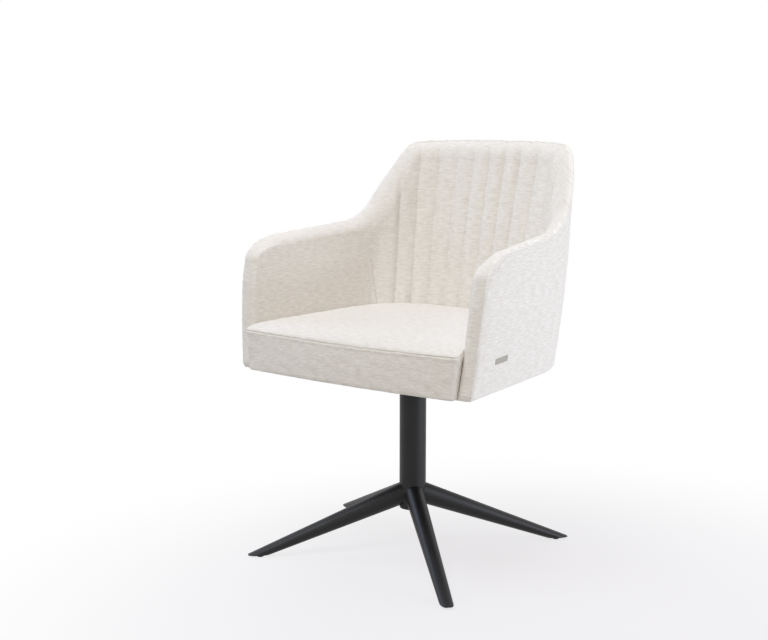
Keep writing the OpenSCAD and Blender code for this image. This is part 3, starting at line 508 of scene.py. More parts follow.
# On the wing the roll reaches further down, by a quarter of this half way up
WING_ROLL = 68.0


def round_corner(angle):
    """0 at the arm's front, 1 once the corner is turned."""
    return ease01(angle / 90)


def back_share(angle, t):
    return np.where(angle < 90, 0, wing_share(t))


def band_depth(angle, t):
    corner = np.interp(angle, SEAM_ANGLES, SEAM_DEPTHS)
    arm = mix(corner, ARM_SEAM, ease01((t - CORNER_T) / t_of(90)))
    return mix(arm, BACK_SEAM, back_share(angle, t))


def band_radius(angle, t):
    return mix(mix(FRONT_R, ARM_R, round_corner(angle)), BACK_R, back_share(angle, t))


def roll_down(angle, t):
    """How far down the band's soft roll reaches on the inner face."""
    share = back_share(angle, t)
    return mix(mix(FRONT_ROLL, ARM_ROLL, round_corner(angle)), BACK_ROLL, share) \
        + WING_ROLL * share * (1 - share)


print("the outer seam is", ARM_SEAM, "mm below the edge on the arms,", BACK_SEAM, "on the back")

# %% [markdown]
# The band and the cover are both built station by station, from the left arm's front round the
# back to the right arm's front. One row of stations serves both, so their seams meet point to
# point. The right half mirrors the left one.

# %% Stations
# Stations round each oval corner, and from there to the middle of the back
CORNER_STEPS = 24
EDGE_STEPS = 290
half_angle = np.concatenate([np.linspace(0, 90, CORNER_STEPS + 1)[:-1],
                             np.full(EDGE_STEPS, 90.0)])
half_t = np.concatenate([np.zeros(CORNER_STEPS), np.linspace(CORNER_T, 1, EDGE_STEPS)])
edge_side = np.concatenate([np.full(len(half_t), -1.0), np.full(len(half_t) - 1, 1.0)])
edge_angle = np.concatenate([half_angle, half_angle[-2::-1]])
edge_t = np.concatenate([half_t, half_t[-2::-1]])
print(len(edge_t), "stations round the upper edge")

# %% [markdown]
# Cloth never lies dead flat. Two helpers make smooth unevenness from a few waves with fixed
# random directions: one along a line, one over a surface. The seed keeps them the same each run.

# %% Unevenness
def uneven_line(x, size, seed):
    """Smooth noise along x, about -1 to 1, with features of the given size."""
    waves = 9
    dice = np.random.default_rng(seed)
    rate = 2 * math.pi / size * dice.uniform(0.55, 1.6, waves)
    shift = dice.uniform(0, 2 * math.pi, waves)
    return sum(np.cos(x * r + s) for r, s in zip(rate, shift)) / math.sqrt(waves)


def uneven(u, v, size_u, size_v, seed):
    """Smooth noise over a surface, with features of one size along u and another along v."""
    waves = 14
    dice = np.random.default_rng(seed)
    angle, shift = dice.uniform(0, 2 * math.pi, waves), dice.uniform(0, 2 * math.pi, waves)
    rate = dice.uniform(0.5, 1.5, waves) * 2 * math.pi
    return sum(np.cos(r * (np.cos(a) * u / size_u + np.sin(a) * v / size_v) + s)
               for a, s, r in zip(angle, shift, rate)) / math.sqrt(waves)


sample = uneven_line(np.linspace(0, 1000, 500), 30, 1)
print("unevenness along a metre: from", round(sample.min(), 2), "to", round(sample.max(), 2))

# %% [markdown]
# All sewn pieces are lofts: a row of closed outlines joined into a skin. One function makes the
# mesh, closes its ends and stores where each point lies on its cloth, for the weave.

# %% Loft helper
# Edges that turn by more degrees than this stay sharp
SHARP_FROM = 50


def points_of(piece):
    """The piece's points as rows of x, y, z."""
    flat = np.empty(len(piece.data.vertices) * 3)
    piece.data.vertices.foreach_get("co", flat)
    return flat.reshape(-1, 3)


def loft(name, rings, weave, finish):
    """A closed skin through rings of points [ring, point, xyz], with weave [ring, point, uv]."""
    n, m = rings.shape[:2]
    index = np.arange(n * m).reshape(n, m)
    a, b = index[:-1], index[1:]
    quads = np.stack([a, np.roll(a, -1, 1), np.roll(b, -1, 1), b], axis=-1).reshape(-1, 4)
    mesh = bpy.data.meshes.new(name)
    caps = [index[0, ::-1].tolist(), index[-1].tolist()]
    mesh.from_pydata(rings.reshape(-1, 3).tolist(), [], quads.tolist() + caps)
    mesh.update()
    lay = mesh.attributes.new("weave", "FLOAT_VECTOR", "POINT")
    uvw = np.zeros((n * m, 3))
    uvw[:, :2] = weave.reshape(-1, 2)
    lay.data.foreach_set("vector", uvw.ravel())
    mesh.polygons.foreach_set("use_smooth", [True] * len(quads) + [False, False])
    mesh.set_sharp_from_angle(angle=math.radians(SHARP_FROM))
    mesh.materials.append(finish)
    piece = bpy.data.objects.new(name, mesh)
    scene.collection.objects.link(piece)
    fix_direction(piece)
    return piece


def fix_direction(piece):
    """Turns all faces of a closed skin outwards."""
    skin = bmesh.new()
    skin.from_mesh(piece.data)
    bmesh.ops.recalc_face_normals(skin, faces=skin.faces)
    skin.to_mesh(piece.data)
    skin.free()


def upholstery(piece, node):
    """Hides the solid that a soft piece stands for, hangs the piece on the seat's body and prints
    its size.
    """
    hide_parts(node)
    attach(piece, "seat")
    points = points_of(piece)
    size = points.max(0) - points.min(0)
    print(piece.name, "measures", [round(1000 * s) for s in size], "mm")


print("lofts stay sharp where they turn by more than", SHARP_FROM, "degrees")

# %% [markdown]
# Foam presses the cover outwards while thread holds it down. A short cloth simulation does the
# same: the sewn points are pinned, a little pressure fills the piece, and cloth cut slightly too
# large for its place buckles into small wrinkles. The result is kept and the simulation removed.

# %% Cloth simulation
CLOTH = {"quality": 5, "mass": 0.3, "tension_stiffness": 15, "compression_stiffness": 15,
         "shear_stiffness": 5}


def inflate(piece, sewn, share, pressure, grow, frames, cap_mm, bend):
    """Fills a piece between its sewn points and keeps a share of each move, up to a cap."""
    before = points_of(piece)
    group = piece.vertex_groups.new(name="sewn")
    group.add(np.flatnonzero(sewn).tolist(), 1.0, "REPLACE")
    cloth = piece.modifiers.new("cloth", "CLOTH")
    cloth.settings.vertex_group_mass = "sewn"
    for setting, value in CLOTH.items():
        setattr(cloth.settings, setting, value)
    cloth.settings.bending_stiffness = bend
    cloth.settings.shrink_min = -grow
    cloth.settings.use_pressure = True
    cloth.settings.uniform_pressure_force = pressure
    cloth.settings.effector_weights.gravity = 0
    cloth.collision_settings.use_collision = False
    cloth.point_cache.frame_end = frames
    for frame_number in range(1, frames + 1):
        scene.frame_set(frame_number)
    settled_mesh = piece.evaluated_get(bpy.context.evaluated_depsgraph_get()).data
    after = np.empty(before.size)
    settled_mesh.vertices.foreach_get("co", after)
    move = after.reshape(-1, 3) - before
    piece.modifiers.remove(cloth)
    piece.vertex_groups.remove(group)
    scene.frame_set(1)
    length = np.linalg.norm(move, axis=1)
    cap = cap_mm / 1000
    move *= (share * cap * np.tanh(length / cap) / np.maximum(length, 1e-9))[:, None]
    piece.data.vertices.foreach_set("co", (before + move).ravel())
    piece.data.update()
    print(piece.name, "moved by up to", round(1000 * length.max(), 1), "mm, on average",
          round(1000 * length.mean(), 2), "mm")


print("cloth settings:", CLOTH)

# %% [markdown]
# The outside cover is one wide panel of cloth over thin wadding, wrapped round both arms and the
# back. It rolls under at the hem, and dips where it is sewn to the edge band. The seam is deep up
# the arm's front, where the cloth is pulled tight, and hardly shows along the top. The band
# follows the same seam and the same rounded foot, so these come first.

# %% Foot and outer seam
# Radius of the arms' rounded feet and of the hem, in mm
FOOT = 10.0
HEM = 8.0
# Length of cloth from an arm's front to the middle of the back
GIRTH = 620.0
# Where the outer seam runs behind the arm's front: at the foot, above it, and more at the top
SEAM_FOOT, SEAM_FRONT, SEAM_TOP = 1.5, 4.5, 3.0
# How far the tight seam pulls the cloth in
PULL = 2.4


def foot_curve(z):
    """How far the front of an arm draws back at height z, for its rounded foot."""
    up = np.minimum(FOOT, z - UNDERSIDE)
    return FOOT - np.sqrt(np.maximum(0, FOOT ** 2 - (FOOT - up) ** 2))


def front_depth(z):
    """How far behind the arm's front face the band's outer seam runs."""
    share = 1 - foot_curve(z) / FOOT
    return mix(SEAM_FOOT, SEAM_FRONT, share) + SEAM_TOP * ease01((z - 595) / 35)


def drawn_in(back):
    """How far the tight seam pulls the outer face in, at a distance behind the front."""
    return PULL * np.exp(-back / 22)


def seam_strength(angle, t):
    """How deep the band's outer seam sits: 1 up the arm fronts, fading round the corner."""
    return np.where(angle < 90, 1 - 0.9 * ease01((angle - 50) / 40),
                    mix(0.1, 0.05, ease01((t - CORNER_T) / 0.2)))


print("the seam is", SEAM_FOOT, "mm behind the arm's front at the foot and",
      round(float(front_depth(top_of_arm)), 1), "mm at the top")

# %% [markdown]
# The cover is lofted from station to station: up the outer face, in under the band, and down
# again behind, where nobody sees it. Since it passes on under the band, no gap is left between
# the two.

# %% Outside cover
# Two small dents on the arm's corner: behind the front, height
DENTS = ((47, 649), (70, 662))
# The middle of the tag: behind the right arm's front, and its height
TAG_BACK = 110.0
TAG_Z = 470.0


def outside_cover():
    inset = band_depth(edge_angle, edge_t) + 0.2
    t, z_high = (v[:, None] for v in edge(edge_angle, edge_t, inset))
    t_under, z_under = (v[:, None] for v in edge(edge_angle, edge_t, inset - 4))
    side = edge_side[:, None]
    # Rows from the hem up to the seam, close together at both ends
    rows = np.concatenate([np.linspace(0, 9, 12), np.linspace(9, 250, 64)[1:]])
    share = np.concatenate([rows / 250 * 0.96, 1 - np.geomspace(0.04, 0.0012, 10)[1:], [1.0]])
    z = UNDERSIDE + (z_high - UNDERSIDE) * share
    # The front border follows the seam, foot included
    seam_back = front_depth(z) + foot_curve(z) + 0.2
    t = np.where(edge_angle[:, None] == 0, t_of(seam_back), np.maximum(t, t_of(seam_back + 1)))
    u = side * (1 - t) * GIRTH
    up = np.minimum(z - UNDERSIDE, HEM)
    hem = HEM - np.sqrt(np.maximum(0, HEM ** 2 - (HEM - up) ** 2))
    strength = seam_strength(edge_angle, edge_t)[:, None]
    to_seam = z_high - z
    back = t * side_length / SIDE
    front = back - seam_back
    dip = 1.8 * strength * np.exp(-(to_seam / 2.4)) + 1.8 * np.exp(-(front / 2.4))
    pucker = 0.6 * strength * np.exp(-to_seam / 14) * uneven_line(u, 14, 3) \
        + 0.5 * np.exp(-front / 13) * uneven_line(z, 17, 4)
    swell = 2.2 * np.sin(math.pi * clamp01((z - UNDERSIDE) / (z_high - UNDERSIDE))) ** 2 \
        * ease01(front / 60)
    # The tight seam lets go on the arm's corner and leaves the dents
    dents = sum(1.5 * np.exp(-((back - a) / 8) ** 2 - ((z - b) / 5) ** 2) for a, b in DENTS)
    slack = 0.4 * uneven(u, z, 90, 60, 5) + 0.2 * uneven(u, z, 30, 16, 6)
    soft = pucker - swell + dents + slack * clamp01(to_seam / 20)
    # Under the tag the cloth is pressed flat
    pressed = ease01(5.5 - np.abs(back - TAG_BACK) / 6) * ease01(3 - np.abs(z - TAG_Z) / 4) \
        * (side > 0)
    depth = np.minimum(hem, 5.8) + dip + drawn_in(back) * (1 - pressed) + soft * (1 - pressed)
    outer = tub(side, t, z, depth)
    under = tub(side, t_under, z_under, depth[:, -1:] + 2.5)
    inner_z = mix(z_under - 0.5, UNDERSIDE + 0.2, np.array([[0.0, 0.33, 0.67, 1.0]]))
    inner = tub(side, t_under, inner_z, 6.6)
    rings = np.concatenate([outer, under, inner], axis=1)
    heights = np.concatenate([z, z_under, inner_z], axis=1)
    tucked_u = side * (1 - t_under) * GIRTH + np.zeros(5)
    lay = np.stack([np.concatenate([u, tucked_u], axis=1), heights], -1) / 1000
    return loft("outside_cover", rings, lay, cream_cloth)


cover = outside_cover()
upholstery(cover, "outer_cover")

# %% [markdown]
# The back's lining is sewn through its foam in upright lines, so that ten channels stand up
# between them. The lines fan out a little towards the top and run out on the roll of the band.
# The band and the pads share the shapes below, so they meet without a step.

# %% Seams of the back
CHANNELS = 10
CHANNEL = 41.5
CHANNEL_DEPTH = 5.6
SEAMS_HALF = CHANNELS * CHANNEL / 2
SEAM_NUMBERS = np.arange(-(CHANNELS // 2), CHANNELS // 2 + 1)
# Height of the pads' lower ends and of the cushion's upper edge
PAD_FOOT = 423.3
SEAT_EDGE = 503.0
# Place t where an arm pad ends and the back begins
SPLIT = 0.44
# The pads' last two rows turn in this far below the band's roll, and their hidden rear lies
# this deep below the outer face
TURN_IN, TURNED_IN = 2.5, 2.1
PAD_REAR = 17.0


def fan(z):
    """How far the seams have spread: 1 at the top."""
    return mix(0.88, 1.0, rise(z))


def t_of_width(z, w):
    """Place t at a distance w round the inner face from the middle of the back."""
    x, r, a = corner_x(z), corner_r(z) - wall_thickness(z, 1.0), taper(z)
    turned = np.degrees((w - x) / r)
    return np.where(w <= x, 1 - (1 - CORNER) * w / x,
                    SIDE + (CORNER - SIDE) * (90 - turned - a) / (90 - a))


def width_of_t(z, t):
    """The other way round: the distance w of a place t."""
    x, r, a = corner_x(z), corner_r(z) - wall_thickness(z, 1.0), taper(z)
    turned = 90 - a - (t - SIDE) / (CORNER - SIDE) * (90 - a)
    return np.where(t >= CORNER, x * (1 - t) / (1 - CORNER), x + r * np.radians(turned))


# Thread never runs quite true: how far each seam strays sideways, from left to right, in mm
STRAY = (-3.3, -6.8, -8.0, -2.9, 0.5, 2.3, 0.5, -0.5, 1.0, 3.0, 3.0)


def seam_number(girth, z):
    """Where a place lies among the seams: whole numbers are on a seam, 0 is the middle one."""
    return np.interp(girth / fan(z), np.r_[-900, SEAM_NUMBERS * CHANNEL + STRAY, 900],
                     np.r_[-20.0, SEAM_NUMBERS, 20.0])


print(CHANNELS, "channels,", CHANNEL, "mm wide, between", len(STRAY), "seams")

# %% [markdown]
# The inner face is pushed in by small shapes that add up: the channels, the puckers along their
# thread, the fold where arm and back meet, and ripples on the wing. Each is a formula that fades
# out where the real one does. The thread's own furrow is kept apart, as it is pressed in last.

# %% Channels, folds and ripples
# Depth of the fold beside the seat
FOLD_DEPTH = 4.0


def channel_dip(seam, below):
    """Depth of the surface under the channels' crests, below the upper edge by so much."""
    place = 1 - 2 * np.abs(seam - np.round(seam))
    fade = ease01((below + 4) / 44) * ease01((CHANNELS / 2 + 0.35 - np.abs(seam)) / 0.3)
    return fade * CHANNEL_DEPTH * place ** 1.9


def stitch_dip(seam, below):
    """The narrow furrow of the thread itself."""
    off = np.abs(seam - np.round(seam)) * CHANNEL
    fade = ease01((below - 2) / 44) * (np.abs(seam) < CHANNELS / 2 + 0.3)
    return 1.5 * fade * np.exp(-(off / 1.5) ** 2)


def dart_dip(t, z):
    """The fold where arm and back meet, from the seat up to the middle of the arm."""
    line = 0.484 - (z - 512) * 0.00066
    off = (t - line) * side_length / SIDE
    deep = FOLD_DEPTH * (1 - ease01((z - 525) / 165))
    return deep * np.exp(-np.abs(off) / 4.5) - 0.35 * deep * np.exp(-((off + 14) / 8) ** 2)


def wing_ripples(side, t, z, below):
    """Level ripples where the cloth turns from the arm up into the wing."""
    where = ease01((z - 600) / 60) * ease01((840 - z) / 90) * ease01((below - 8) / 40) \
        * ease01((t - 0.37) / 0.06) * ease01((0.75 - t) / 0.14)
    u = side * (1 - t) * 860
    wave = np.sin(2 * math.pi * (z + 3.5 * uneven(u, z, 60, 50, 35)) / 10.5)
    return 0.62 * where * wave * (0.7 + 0.5 * uneven(u, z, 34, 22, 33))


def upper_back(t, z):
    """0 on the arms and below, 1 on the upper part of the back."""
    return ease01((z - 640) / 200) * ease01((t - 0.5) / 0.25)


def inner_dip(side, t, z, below):
    """How far the inner face is pushed in: channels, fold, puckers, lean and ripples."""
    u = side * width_of_t(z, t)
    seam = seam_number(u, z)
    at_seam = np.exp(-((seam - np.round(seam)) * CHANNEL / 10) ** 2)
    gather = 0.33 * at_seam * uneven(u, z, 40, 8.5, 36) * (np.abs(seam) < CHANNELS / 2 + 0.3) \
        * ease01((below - 20) / 50)
    lean = 8.0 * upper_back(t, z)
    return channel_dip(seam, below) + dart_dip(t, z) + gather + lean \
        - wing_ripples(side, t, z, below)


print("channels", CHANNEL_DEPTH, "mm deep, fold beside the seat", FOLD_DEPTH, "mm deep")

# %% [markdown]
# The edge band is the boxing: one strip that runs up one arm's front, along the arm, over the
# back and down the other side. Outside it has a small, firm corner. Inside it rolls over softly,
# because the foam is thick there. Its two sewn edges are tucked in. First comes its section.

# %% Section of the band
def band_section(thick, depth, r, wide, down, tuck, flat=1.0):
    """Section of the band as [across the wall, below the edge], for every station at once.

    The roll is a quarter oval at flat 1 and comes near a straight bevel at flat 2. The last
    points are the flap that covers the top of the pad, and the hidden inside.
    """
    across, below = [tuck, 0.35 * tuck, 0.06 * tuck], [depth + 0.5, depth - 0.9, depth - 2.6]
    for a in np.radians(np.linspace(0, 90, 9)):
        across.append(r * (1 - np.cos(a)))
        below.append(r * (1 - np.sin(a)))
    across.append(mix(r, thick - wide, 0.5))
    below.append(0 * r)
    for a in np.radians(np.linspace(0, 90, 23)):
        across.append(thick - wide * (1 - np.sin(a) ** flat))
        below.append(down * (1 - np.cos(a) ** flat))
    across += [thick, thick - 0.45, thick - 0.45, thick * 0.6, thick * 0.25]
    below += [down + 2, down + 2.1, down - 5, down - 5, np.minimum(depth - 0.5, down - 5)]
    return np.stack(np.broadcast_arrays(*across), -1), np.stack(np.broadcast_arrays(*below), -1)


# Points of a section: where the outer corner ends, where the inner roll starts, the last in view
OUTER_TO = 11
INNER_FROM = 13
LAST_SEEN = 36
# How far the outer seam is tucked in where it is tight
TUCK = 2.2
print("the band's outer seam is tucked in by up to", TUCK, "mm")

# %% [markdown]
# Section after section follows the edge, from one arm's corner over the back to the other's. The
# channels and folds of the back run out on the band, so its roll is pushed in by the same shapes.

# %% Band along the edge
def girth_left(across, below):
    """Length of each section from a point to its last one."""
    step = np.hypot(np.diff(across, axis=1), np.diff(below, axis=1))
    girth = np.concatenate([np.zeros((len(across), 1)), np.cumsum(step, axis=1)], axis=1)
    return girth[:, -1:] - girth


def section_shares(across):
    """For each point of a section: its number, how far it may wander, and 1 outside to 0 inside."""
    place = np.arange(across.shape[1])
    middle = np.interp(place, [2, 6, LAST_SEEN - 6, LAST_SEEN - 1], [0, 1, 1, 0])
    return place, middle, np.interp(place, [OUTER_TO, INNER_FROM], [1, 0])


def band_along():
    """The band from one arm's corner over the back to the other: points, and their cloth."""
    side, angle = edge_side[:, None], edge_angle[:, None]
    strength = seam_strength(edge_angle, edge_t)
    share = back_share(edge_angle, edge_t)
    r = band_radius(edge_angle, edge_t) - 10 * share * (1 - share)
    t0, z0 = edge(edge_angle, edge_t, 0)
    thick = wall_thickness(z0, t0)
    wide = mix(FRONT_ROLL + 2, 0.97 * (thick - r), round_corner(edge_angle))
    corner = np.sin(np.radians(2 * edge_angle)) ** 2
    across, below = band_section(thick, band_depth(edge_angle, edge_t), r, wide,
                                 roll_down(edge_angle, edge_t), TUCK * strength, 1 + 0.3 * corner)
    place, middle, outer = section_shares(across)
    run = np.cumsum(np.r_[0, np.linalg.norm(np.diff(tub(edge_side, t0, z0, 0), axis=0), axis=1)])
    run = 1000 * run[:, None]
    pull = 0.35 * uneven_line(run, 34, 11) + 0.2 * uneven_line(run, 11, 12) * strength[:, None]
    pull = pull * ease01(run / 30) * ease01((run[-1] - run) / 30)
    t, z = edge(angle, edge_t[:, None], below + pull * middle)
    # Furrows push the roll in along its own direction: down on top, sideways on the inner face
    facing = np.radians(90) * clamp01((place - INNER_FROM) / 22)
    furrow = inner_dip(side, t, z, below) * (angle >= 90)
    across = np.where(place >= INNER_FROM, wall_thickness(z, t) - (thick[:, None] - across)
                      - furrow * np.sin(facing), across)
    z = z - furrow * np.cos(facing) * (place >= INNER_FROM) * (1 - upper_back(t, z) * 0.6)
    pulled = across + drawn_in(t * side_length / SIDE) * outer
    # The weft runs level: across the arm's front, and along the chair once the corner is turned
    turned = round_corner(angle)
    u = (1 - mix(t0[:, None], t, turned)) * GIRTH + girth_left(pulled, below) * (1 - turned)
    return tub(side, t, z, pulled), side * u, z + (thick[:, None] - across) * turned


along, along_u, along_v = band_along()
print("the band has", len(along), "sections of", along.shape[1], "points along the edge")

# %% [markdown]
# Up both arm fronts the strip stands upright on a rounded foot. Its sections have as many points
# as those along the edge, so all of them join into one skin.

# %% Edge band
def band_fronts():
    """The strips up both arm fronts, from a rounded foot: points left and right, their cloth."""
    top = edge(np.array(0.0), np.array(0.0), np.array(0.0))[1]
    foot = UNDERSIDE + FOOT * (1 - np.cos(np.radians(np.linspace(0, 90, 12))))
    z = np.concatenate([foot, np.linspace(UNDERSIDE + FOOT, top, 62)[1:-1]])
    share = 1 - foot_curve(z) / FOOT
    depth = front_depth(z)
    r = mix(0.6, 1.6, share) + depth * 0.2 * ease01((z - 595) / 35)
    across, below = band_section(ARM_WALL + 0 * share, depth, r, mix(1.0, FRONT_ROLL + 2, share),
                                 mix(1.2, FRONT_ROLL, share), TUCK * share)
    _, middle, outer = section_shares(across)
    back, z = foot_curve(z)[:, None], z[:, None]
    wobble = 0.35 * uneven_line(z, 24, 13) + 0.2 * uneven_line(z, 10, 14)
    below = below + wobble * middle * ease01((top - z) / 30)
    # The foot also draws in from the outer face, as the cover's hem does
    across = across + 0.45 * back * clamp01(1 - across / ARM_WALL)
    across = across + drawn_in(back + below) * outer
    strips = [tub(side, t_of(back + below), z, across) for side in (-1, 1)]
    return strips, GIRTH + girth_left(across, below), z + 0 * across


(left, right), front_u, front_v = band_fronts()
band_rings = np.concatenate([left, along, right[::-1]])
band_lay = np.stack([np.concatenate([-front_u, along_u, front_u[::-1]]),
                     np.concatenate([front_v, along_v, front_v[::-1]])], -1) / 1000
band = loft("edge_band_cloth", band_rings, band_lay, cream_cloth)
upholstery(band, "edge_band")

# %% [markdown]
# Each arm is lined with one pad, thin foam under cloth. It swells a little between the seat and
# the edge. Its first two columns, its last rows and its rear columns run on under the
# neighbouring cloth, as a seam allowance does.

# %% Arm pads
def arm_pad(side, name, node):
    # Columns: the arm's front, round its corner, and along the arm. The first two and the last
    # three are seam allowance, shifted up or sunk so that the neighbours cover them.
    angle = np.concatenate([np.zeros(3), np.linspace(0, 90, 15)[1:-1], np.full(90, 90.0)])
    along = np.concatenate([np.zeros(16), np.linspace(CORNER_T, SPLIT - 0.004, 86),
                            [SPLIT - 0.0005, SPLIT, SPLIT + 0.006, SPLIT + 0.012]])
    shift = np.zeros(len(angle))
    shift[:2] = (-4.0, -0.4)
    hidden = np.zeros(len(angle))
    hidden[:2] = (3.5, 0.7)
    hidden[-3:] = 0.7
    roll = roll_down(angle, along)
    inset = roll + TURN_IN + shift
    t, z_high = (v[:, None] for v in edge(angle, along, inset))
    tucks = [edge(angle, along, roll + TURNED_IN + shift),
             edge(angle, along, roll - 3 + np.maximum(shift, -0.4))]
    t_under, z_under = (np.stack([k[i] for k in tucks], -1) for i in (0, 1))
    share = np.linspace(0, 1, 110)
    z = PAD_FOOT + (z_high - PAD_FOOT) * share
    u = t * side_length / SIDE
    up = clamp01((z - SEAT_EDGE) / (z_high - SEAT_EDGE))
    end = clamp01((t - t[2]) / (SPLIT - t[2]))
    swell = 3.5 * np.sin(math.pi * up) ** 2 * np.sin(math.pi * end) ** 1.5
    soft = np.sin(math.pi * up) * np.sin(math.pi * end)
    below = z_high - z + inset[:, None]
    shown = wall_thickness(z, t) + swell + 0.45 * soft * uneven(u, z, 90, 50, 22) \
        + 0.15 * soft * uneven(u, z, 34, 20, 23) - hidden[:, None] \
        - inner_dip(side, t, z, below) * (angle[:, None] >= 90)
    face = tub(side, t, z, shown)
    under = tub(side, t_under, z_under, wall_thickness(z_under, t_under) - (0.7, 2.8)
                - hidden[:, None])
    back_z = mix(z_under[:, -1:], PAD_FOOT, np.array([[0.0, 0.5, 1.0]]))
    back = tub(side, t_under[:, -1:], back_z, PAD_REAR)
    heights = np.concatenate([z, z_under, back_z], axis=1)
    lay = np.stack(np.broadcast_arrays(u, heights), -1) / 1000
    piece = loft(name, np.concatenate([face, under, back], 1), lay, cream_cloth)
    upholstery(piece, node)


arm_pad(-1, "arm_pad_left_cloth", "arm_pad_left")
arm_pad(1, "arm_pad_right_cloth", "arm_pad_right")

# %% [markdown]
# For the back, the simulation pins every sewn line and lets the channels fill between them. The
# cloth is cut 0.8 percent too large, so it gathers along the thread into short level puckers.

# %% Channelled back
# Columns of points in a channel, and rows up the back
STEPS = 14
ROWS = 170
# Width of cloth from the outermost seam to the arm pad
SIDE_CLOTH = 62.0


def channelled_back():
    # Columns across the channels, then on from the outermost seam to the arm pads
    inner = np.linspace(0, SEAMS_HALF, CHANNELS // 2 * STEPS + 1)
    half = [(w, 0.0) for w in inner] + [(SEAMS_HALF, k) for k in np.linspace(0, 1, 33)[1:]]
    columns = [(-1.0, w, k) for w, k in half[:0:-1]] + [(1.0, w, k) for w, k in half]
    side, w, k = (np.array(c)[:, None] for c in zip(*columns))
    stray = np.interp(side * w, SEAM_NUMBERS * CHANNEL, STRAY)

    def t_at(z):
        return mix(t_of_width(z, np.abs(w + side * stray) * fan(z)), SPLIT, k)

    def top_at(more):
        """Height of each column's end, found in a few rounds because t changes with height."""
        z_top = np.full_like(w, 800.0)
        for _ in range(8):
            t = t_at(z_top)
            angle = np.full_like(t, 90.0)
            z_top = edge(angle, t, roll_down(angle, t) + more)[1]
        return z_top

    z_high = top_at(TURN_IN)
    z_under = np.concatenate([top_at(TURNED_IN), top_at(-4)], axis=1)
    inset = roll_down(np.full_like(w, 90.0), t_at(z_high)) + TURN_IN
    share = np.linspace(0, 1, ROWS)
    z = PAD_FOOT + (z_high - PAD_FOOT) * share
    t = t_at(z)
    below = z_high - z + inset
    girth = side * width_of_t(z, t)
    slack = 0.25 * uneven(girth, z, 60, 24, 34) * ease01((below - inset) / 60) \
        * ease01((1 - k) / 0.3)
    shown = wall_thickness(z, t) + slack - inner_dip(side, t, z, below)
    face = tub(side, t, z, shown)
    t_u = t_at(z_under)
    hidden = inner_dip(side, t_u, z_under, z_high - z_under + inset)
    under = tub(side, t_u, z_under, wall_thickness(z_under, t_u) - (0.7, 1.6) - hidden)
    back_z = mix(z_under[:, -1:], PAD_FOOT, np.array([[0.0, 0.5, 1.0]]))
    back = tub(side, t_at(back_z), back_z, PAD_REAR)
    heights = np.concatenate([z, z_under, back_z], axis=1)
    lay = np.stack(np.broadcast_arrays(side * w + side * k * SIDE_CLOTH, heights), -1) / 1000
    piece = loft("channelled_back", np.concatenate([face, under, back], 1), lay, cream_cloth)
    sewn = np.ones(lay.shape[:2], bool)
    seam = (np.round(w / (CHANNEL / STEPS)) % STEPS == 0) & (k == 0)
    sewn[:, :ROWS] = seam | (share < 0.1) | (share > 0.985) | (k > 0.85)
    kept = np.zeros(lay.shape[:2])
    kept[:, :ROWS] = ease01((below - inset) / 40) * ease01((1 - k) / 0.4)
    inflate(piece, sewn.ravel(), kept.ravel(), pressure=5.0, grow=0.008, frames=12,
            cap_mm=2.5, bend=0.5)
    # The thread's own furrow comes last
    shape = points_of(piece).reshape(lay.shape[0], -1, 3)
    furrow = stitch_dip(seam_number(girth, z), below) / 1000
    inward = face - tub(side, t, z, shown + 1)
    inward = inward / np.linalg.norm(inward, axis=-1, keepdims=True)
    shape[:, :ROWS] += inward * furrow[..., None]
    piece.data.vertices.foreach_set("co", shape.ravel())
    piece.data.update()
    return piece


back = channelled_back()
upholstery(back, "back_pad")

# %% [markdown]
# The seat is a boxed foam cushion on the board. Its sides follow the tub's wall at a small gap, so
# its outline is worked out from the wall. The front bows out a little between its corners.

# %% Outline of the cushion
# Reach of the cushion's front from the axis, how far it bows, and the radius of its upper rim
REACH = 245.0
BOW = 14.0
RIM = 6.0
# Room between the cushion and its neighbours
SEAT_GAP = 0.8
# The front skirt ends here, behind the arms' fronts
SKIRT_END = -204.5
# The front corner fills the arm's roll by so much and is rounded
CORNER_OUT = 4.5
CORNER_R = 9.0
# The corner's distance from the middle is taken at this y
CORNER_Y = -235.0
# Points along half the front, round the corner and back along the arm to the skirt's end
FRONT_POINTS = 46
CORNER_POINTS = 12
GAP_POINTS = 8
SKIRT_POINTS = FRONT_POINTS + CORNER_POINTS + GAP_POINTS


